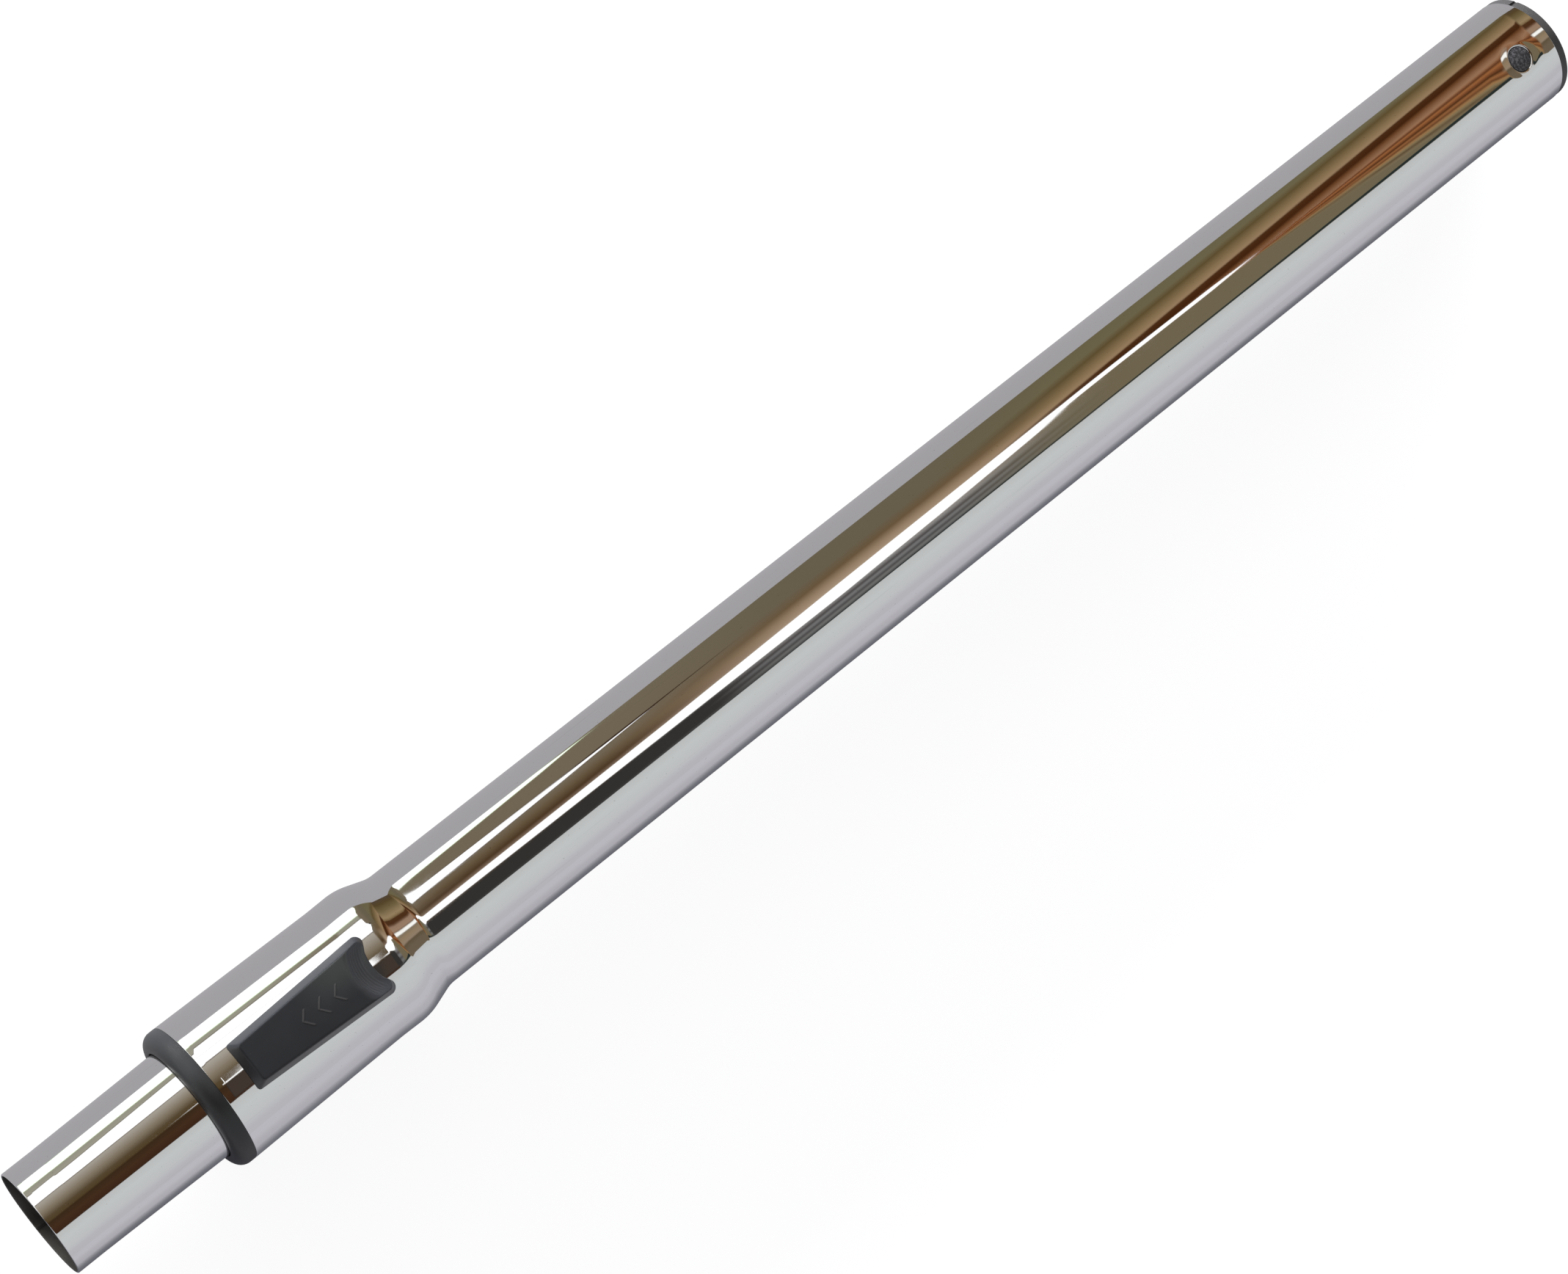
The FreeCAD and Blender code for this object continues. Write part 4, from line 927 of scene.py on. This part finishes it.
def room(tree, turn, lean):
    """The warm room behind the windows and lights, as five layers that follow each other."""
    near = angle_ramp(tree, turn, [
        (-180, (150, 148, 132)), (-62, (150, 148, 132)), (-34, (172, 166, 156)),
        (-12, (126, 114, 96)), (0, (84, 70, 48)), (7.5, (78, 62, 38)), (9, (56, 40, 24)),
        (20, (66, 44, 28)), (33, (58, 37, 24)), (180, (60, 48, 33)),
    ])
    bench = angle_ramp(tree, turn, [
        (-180, (114, 106, 86)), (-36, (112, 100, 82)), (-24, (98, 82, 60)), (-13, (74, 54, 34)),
        (-6, (124, 104, 86)), (9, (56, 52, 48)), (22, (44, 43, 42)), (32, (58, 57, 55)),
        (180, (50, 47, 44)),
    ])
    hall = angle_ramp(tree, turn, [
        (-180, (104, 95, 78)), (-50, (102, 93, 74)), (-34, (104, 84, 60)), (-22, (146, 124, 100)),
        (-11, (166, 144, 122)), (9, (134, 132, 130)), (15, (70, 66, 66)), (19, (118, 118, 118)),
        (24, (74, 72, 72)), (28, (110, 110, 108)), (33, (66, 66, 66)), (180, (84, 80, 74)),
    ])
    slant = number(tree, "MULTIPLY_ADD", lean, 3.26, number(tree, "SUBTRACT", turn, 93.9))
    stairs = angle_ramp(tree, slant, [
        (-180, (92, 84, 62)), (-66, (106, 98, 72)), (-55, (92, 76, 46)), (-36, (134, 112, 80)),
        (-27, (150, 124, 94)), (-24, (72, 42, 20)), (-14, (64, 34, 14)), (-9, (104, 66, 38)),
        (4, (150, 112, 84)), (22, (122, 82, 52)), (180, (122, 82, 52)),
    ])
    fan = number(tree, "DIVIDE", number(tree, "ADD", turn, 10.0), number(
        tree, "MAXIMUM", number(tree, "SUBTRACT", lean, 30.5), 0.5))
    rays = angle_ramp(tree, times(tree, fan, 20.0), [
        (-180, (140, 100, 72)), (-20, (142, 96, 66)), (0, (92, 54, 30)), (16, (150, 96, 56)),
        (32, (120, 72, 42)), (48, (72, 42, 20)), (64, (146, 96, 58)), (84, (98, 60, 34)),
        (100, (152, 114, 74)), (120, (128, 112, 82)), (140, (86, 70, 50)), (164, (122, 108, 82)),
        (180, (110, 100, 78)),
    ])
    stairs = blend_colour(tree, smooth_step(tree, fan, -1.4, -0.4), stairs, rays)
    colour = blend_colour(tree, smooth_step(tree, lean, 11, 14), near, bench)
    colour = blend_colour(tree, smooth_step(tree, lean, 17, 22), colour, hall)
    colour = blend_colour(tree, smooth_step(tree, lean, 24, 28), colour, stairs)
    beyond = angle_ramp(tree, turn, [
        (-180, (110, 98, 72)), (-84, (80, 66, 48)), (-76, (84, 68, 40)), (-61, (112, 97, 66)),
        (-46, (148, 127, 95)), (-41, (128, 106, 75)), (-38, (76, 48, 26)), (-31, (74, 46, 26)),
        (-28, (96, 69, 49)), (-24, (146, 120, 99)), (-15, (152, 124, 102)), (-13, (104, 80, 62)),
        (-11, (244, 242, 236)), (-6, (250, 250, 246)), (-4, (126, 112, 92)), (4, (142, 122, 96)),
        (12, (144, 126, 107)), (15, (93, 81, 61)), (25, (104, 91, 74)), (180, (102, 91, 73)),
    ])
    return blend_colour(tree, smooth_step(tree, lean, 37.4, 38.8), colour, beyond)


def surroundings(tree):
    """What the chrome shows, from the ray's turn about the wand and its lean towards -X.

    The turn is zero straight up and grows to the camera's right, the lean grows towards the
    socket. A warm room lies between the floor and a pale sheet on the right. Two windows
    on the left, a ceiling light and a few dark lines lie over it as soft strips.
    """
    x, y, z = coordinates_of(tree, tree.nodes.new("ShaderNodeTexCoord").outputs["Generated"])
    degrees = 180 / math.pi
    turn = number(tree, "MULTIPLY_ADD", number(tree, "ARCTAN2", y, z), degrees, 3.0)
    lean = times(tree, number(tree, "ARCSINE", x), -degrees)
    colour = room(tree, turn, lean)

    light = along(tree, lean, [
        (7, 6.5), (9.15, 6.5), (9.2, 2.2), (9.75, 2.2), (9.8, 6.5), (10.85, 6.5), (11, 2.2),
        (13.7, -0.2), (18.4, 0.4), (22.2, -1), (24.5, -4), (26.6, -7.5), (27.2, -10.5), (27.8, -11),
        (31.2, -9.5), (32, -8.5),
    ])
    light_half = along(tree, lean, [
        (6, -3), (6.8, 0.3), (8.4, 0.5), (9.15, 0.5), (9.2, 5), (9.75, 5), (9.8, -1), (10, -1),
        (10.1, 0.8), (10.85, 0.8), (11, 5), (13.7, 5.2), (18.4, 7), (22.2, 9.6), (24.5, 8.5),
        (26.6, 6.6), (27.1, 3.6), (30.2, 3), (30.9, 0.4), (31.1, -2),
    ])
    first = along(tree, lean, [(5, -76.7), (8, -80.5), (13.2, -80.5), (13.6, -81.2), (17, -84)])
    first_half = along(tree, lean, [
        (5, 9.5), (8, 12), (13.2, 12), (13.6, 7.5), (16.2, 3.2), (17.1, 0), (18, -3),
    ])
    second = along(tree, lean, [
        (5, -42.3), (8, -46.5), (13.2, -46.5), (13.6, -42.2), (16.2, -43.1), (20, -45.5),
    ])
    second_half = along(tree, lean, [
        (5, 10.8), (8, 13.5), (13.2, 13.5), (13.6, 7.3), (16.2, 3.7), (18.2, 0.3), (19, -3),
    ])
    tail_half = along(tree, lean, [(16, 0), (17.5, 1.5), (20, 0.2), (20.6, -2)])
    skirting_half = along(tree, lean, [(15, -1), (22, 0.6), (30, 1.4), (37.2, 3.2), (37.8, -2)])
    flare = (1.5, 1.5, 1.5)
    shelf = strip(tree, turn, 20, 11, 2)
    skirting = number(tree, "SUBTRACT", SHEET_EDGE, skirting_half)
    for mask, colour_there in (
        (strip(tree, turn, first, number(tree, "ADD", first_half, 0.8), 0.8), shown(196, 226, 170)),
        (strip(tree, turn, first, first_half, 1.2), flare),
        (strip(tree, turn, second, number(tree, "ADD", second_half, 1.2), 0.8), shown(70, 50, 32)),
        (strip(tree, turn, second, second_half, 1.0), flare),
        (strip(tree, turn, -46, tail_half, 0.8), shown(44, 26, 14)),
        (times(tree, shelf, strip(tree, lean, 14.4, 5.4, 0.6)), shown(50, 48, 46)),
        (times(tree, shelf, strip(tree, lean, 10.4, 0.6, 0.1)), shown(64, 54, 47)),
        (strip(tree, turn, skirting, skirting_half, 0.8), shown(36, 44, 43)),
        (strip(tree, turn, light, light_half, 1.0), flare),
    ):
        colour = blend_colour(tree, mask, colour, colour_there)
    sheet = angle_ramp(tree, turn, [
        (-180, (190, 193, 193)), (36, (186, 188, 188)), (50, (192, 195, 195)),
        (70, (188, 190, 192)), (84, (180, 179, 184)), (180, (178, 177, 183)),
    ])
    past_edge = number(tree, "SUBTRACT", turn, along(tree, lean, [(37.4, SHEET_EDGE), (40, 38)]))
    return blend_colour(tree, smooth_step(tree, past_edge, 0, 1), colour, sheet)


bpy.ops.mesh.primitive_plane_add(size=12, location=(0.3, 0, FLOOR_LEVEL))
floor = bpy.context.object
floor.name = "floor"
paper = bpy.data.materials.new("pale_paper")
tree, shader, output = shader_tree(paper)
feed_all(tree, shader, {
    "Base Color": (0.50, 0.50, 0.51), "Roughness": 0.95, "Specular IOR Level": 0.1,
})
rays = tree.nodes.new("ShaderNodeLightPath")
_, y, _ = coordinates_of(tree, tree.nodes.new("ShaderNodeTexCoord").outputs["Object"])
# Painted shadow: glossy rays see the floor glowing dark beside the wand on +Y, paler further out,
# and an even grey on -Y.
painted_floor_shadow = ramp(tree, times(tree, y, 5.0), [
    (0.0, (0.11, 0.11, 0.13)), (0.13, (0.14, 0.14, 0.165)), (0.20, (0.21, 0.21, 0.24)),
    (0.32, (0.50, 0.49, 0.53)), (0.7, (0.58, 0.57, 0.61)), (1.0, (0.60, 0.59, 0.64)),
])
painted_floor_shadow = blend_colour(tree, smooth_step(tree, y, -0.02, 0.0), (0.44, 0.43, 0.45), painted_floor_shadow)
direct = number(tree, "MAXIMUM", rays.outputs["Is Camera Ray"], rays.outputs["Is Transmission Ray"])
share = number(tree, "MAXIMUM", times(tree, direct, 0.75), rays.outputs["Is Glossy Ray"])
glow = tree.nodes.new("ShaderNodeEmission")
tree.links.new(blend_colour(tree, direct, painted_floor_shadow, (1.21, 1.21, 1.21)), glow.inputs["Color"])
choose = tree.nodes.new("ShaderNodeMixShader")
tree.links.new(share, choose.inputs[0])
tree.links.new(shader.outputs[0], choose.inputs[1])
tree.links.new(glow.outputs[0], choose.inputs[2])
tree.links.new(choose.outputs[0], output.inputs["Surface"])
floor.data.materials.append(paper)

world = bpy.data.worlds.new("studio")
bpy.context.scene.world = world
world.use_nodes = True
tree = world.node_tree
tree.nodes.clear()
rays = tree.nodes.new("ShaderNodeLightPath")
sky = blend_colour(tree, rays.outputs["Is Glossy Ray"], (0.40, 0.40, 0.40), surroundings(tree))
sky = blend_colour(tree, rays.outputs["Is Camera Ray"], sky, (1.0, 1.0, 1.0))
back = tree.nodes.new("ShaderNodeBackground")
tree.links.new(sky, back.inputs["Color"])
out = tree.nodes.new("ShaderNodeOutputWorld")
tree.links.new(back.outputs[0], out.inputs["Surface"])

for name, place_at, size, watts in (
    ("side_window", (0.35, -1.5, 0.26), (1.2, 0.4), 95),
    ("far_window", (-1.0, -0.5, 0.30), (0.6, 0.4), 30),
):
    window = bpy.data.lights.new(name, "AREA")
    window.shape = "RECTANGLE"
    window.size, window.size_y = size
    window.energy = watts
    lamp = bpy.data.objects.new(name, window)
    bpy.context.scene.collection.objects.link(lamp)
    lamp.location = place_at
    lamp.rotation_euler = (Vector((0.35, 0, 0)) - lamp.location).to_track_quat("-Z", "Y").to_euler()
    lamp.visible_glossy = False
    lamp.visible_camera = False

lens = bpy.data.cameras.new("camera")
camera = bpy.data.objects.new("camera", lens)
bpy.context.scene.collection.objects.link(camera)
bpy.context.scene.camera = camera
lens.sensor_width = 36
lens.lens = FOCAL_PIXELS / PHOTO_WIDTH * lens.sensor_width
forward = Vector(CAMERA_FORWARD).normalized()
right = forward.cross(Vector(CAMERA_UP)).normalized()
up = right.cross(forward)
turned = Matrix((right, up, -forward)).transposed().to_4x4()
camera.matrix_world = Matrix.Translation(CAMERA_PLACE) @ turned
lens.clip_end = 50

bpy.context.scene.view_settings.view_transform = "Standard"
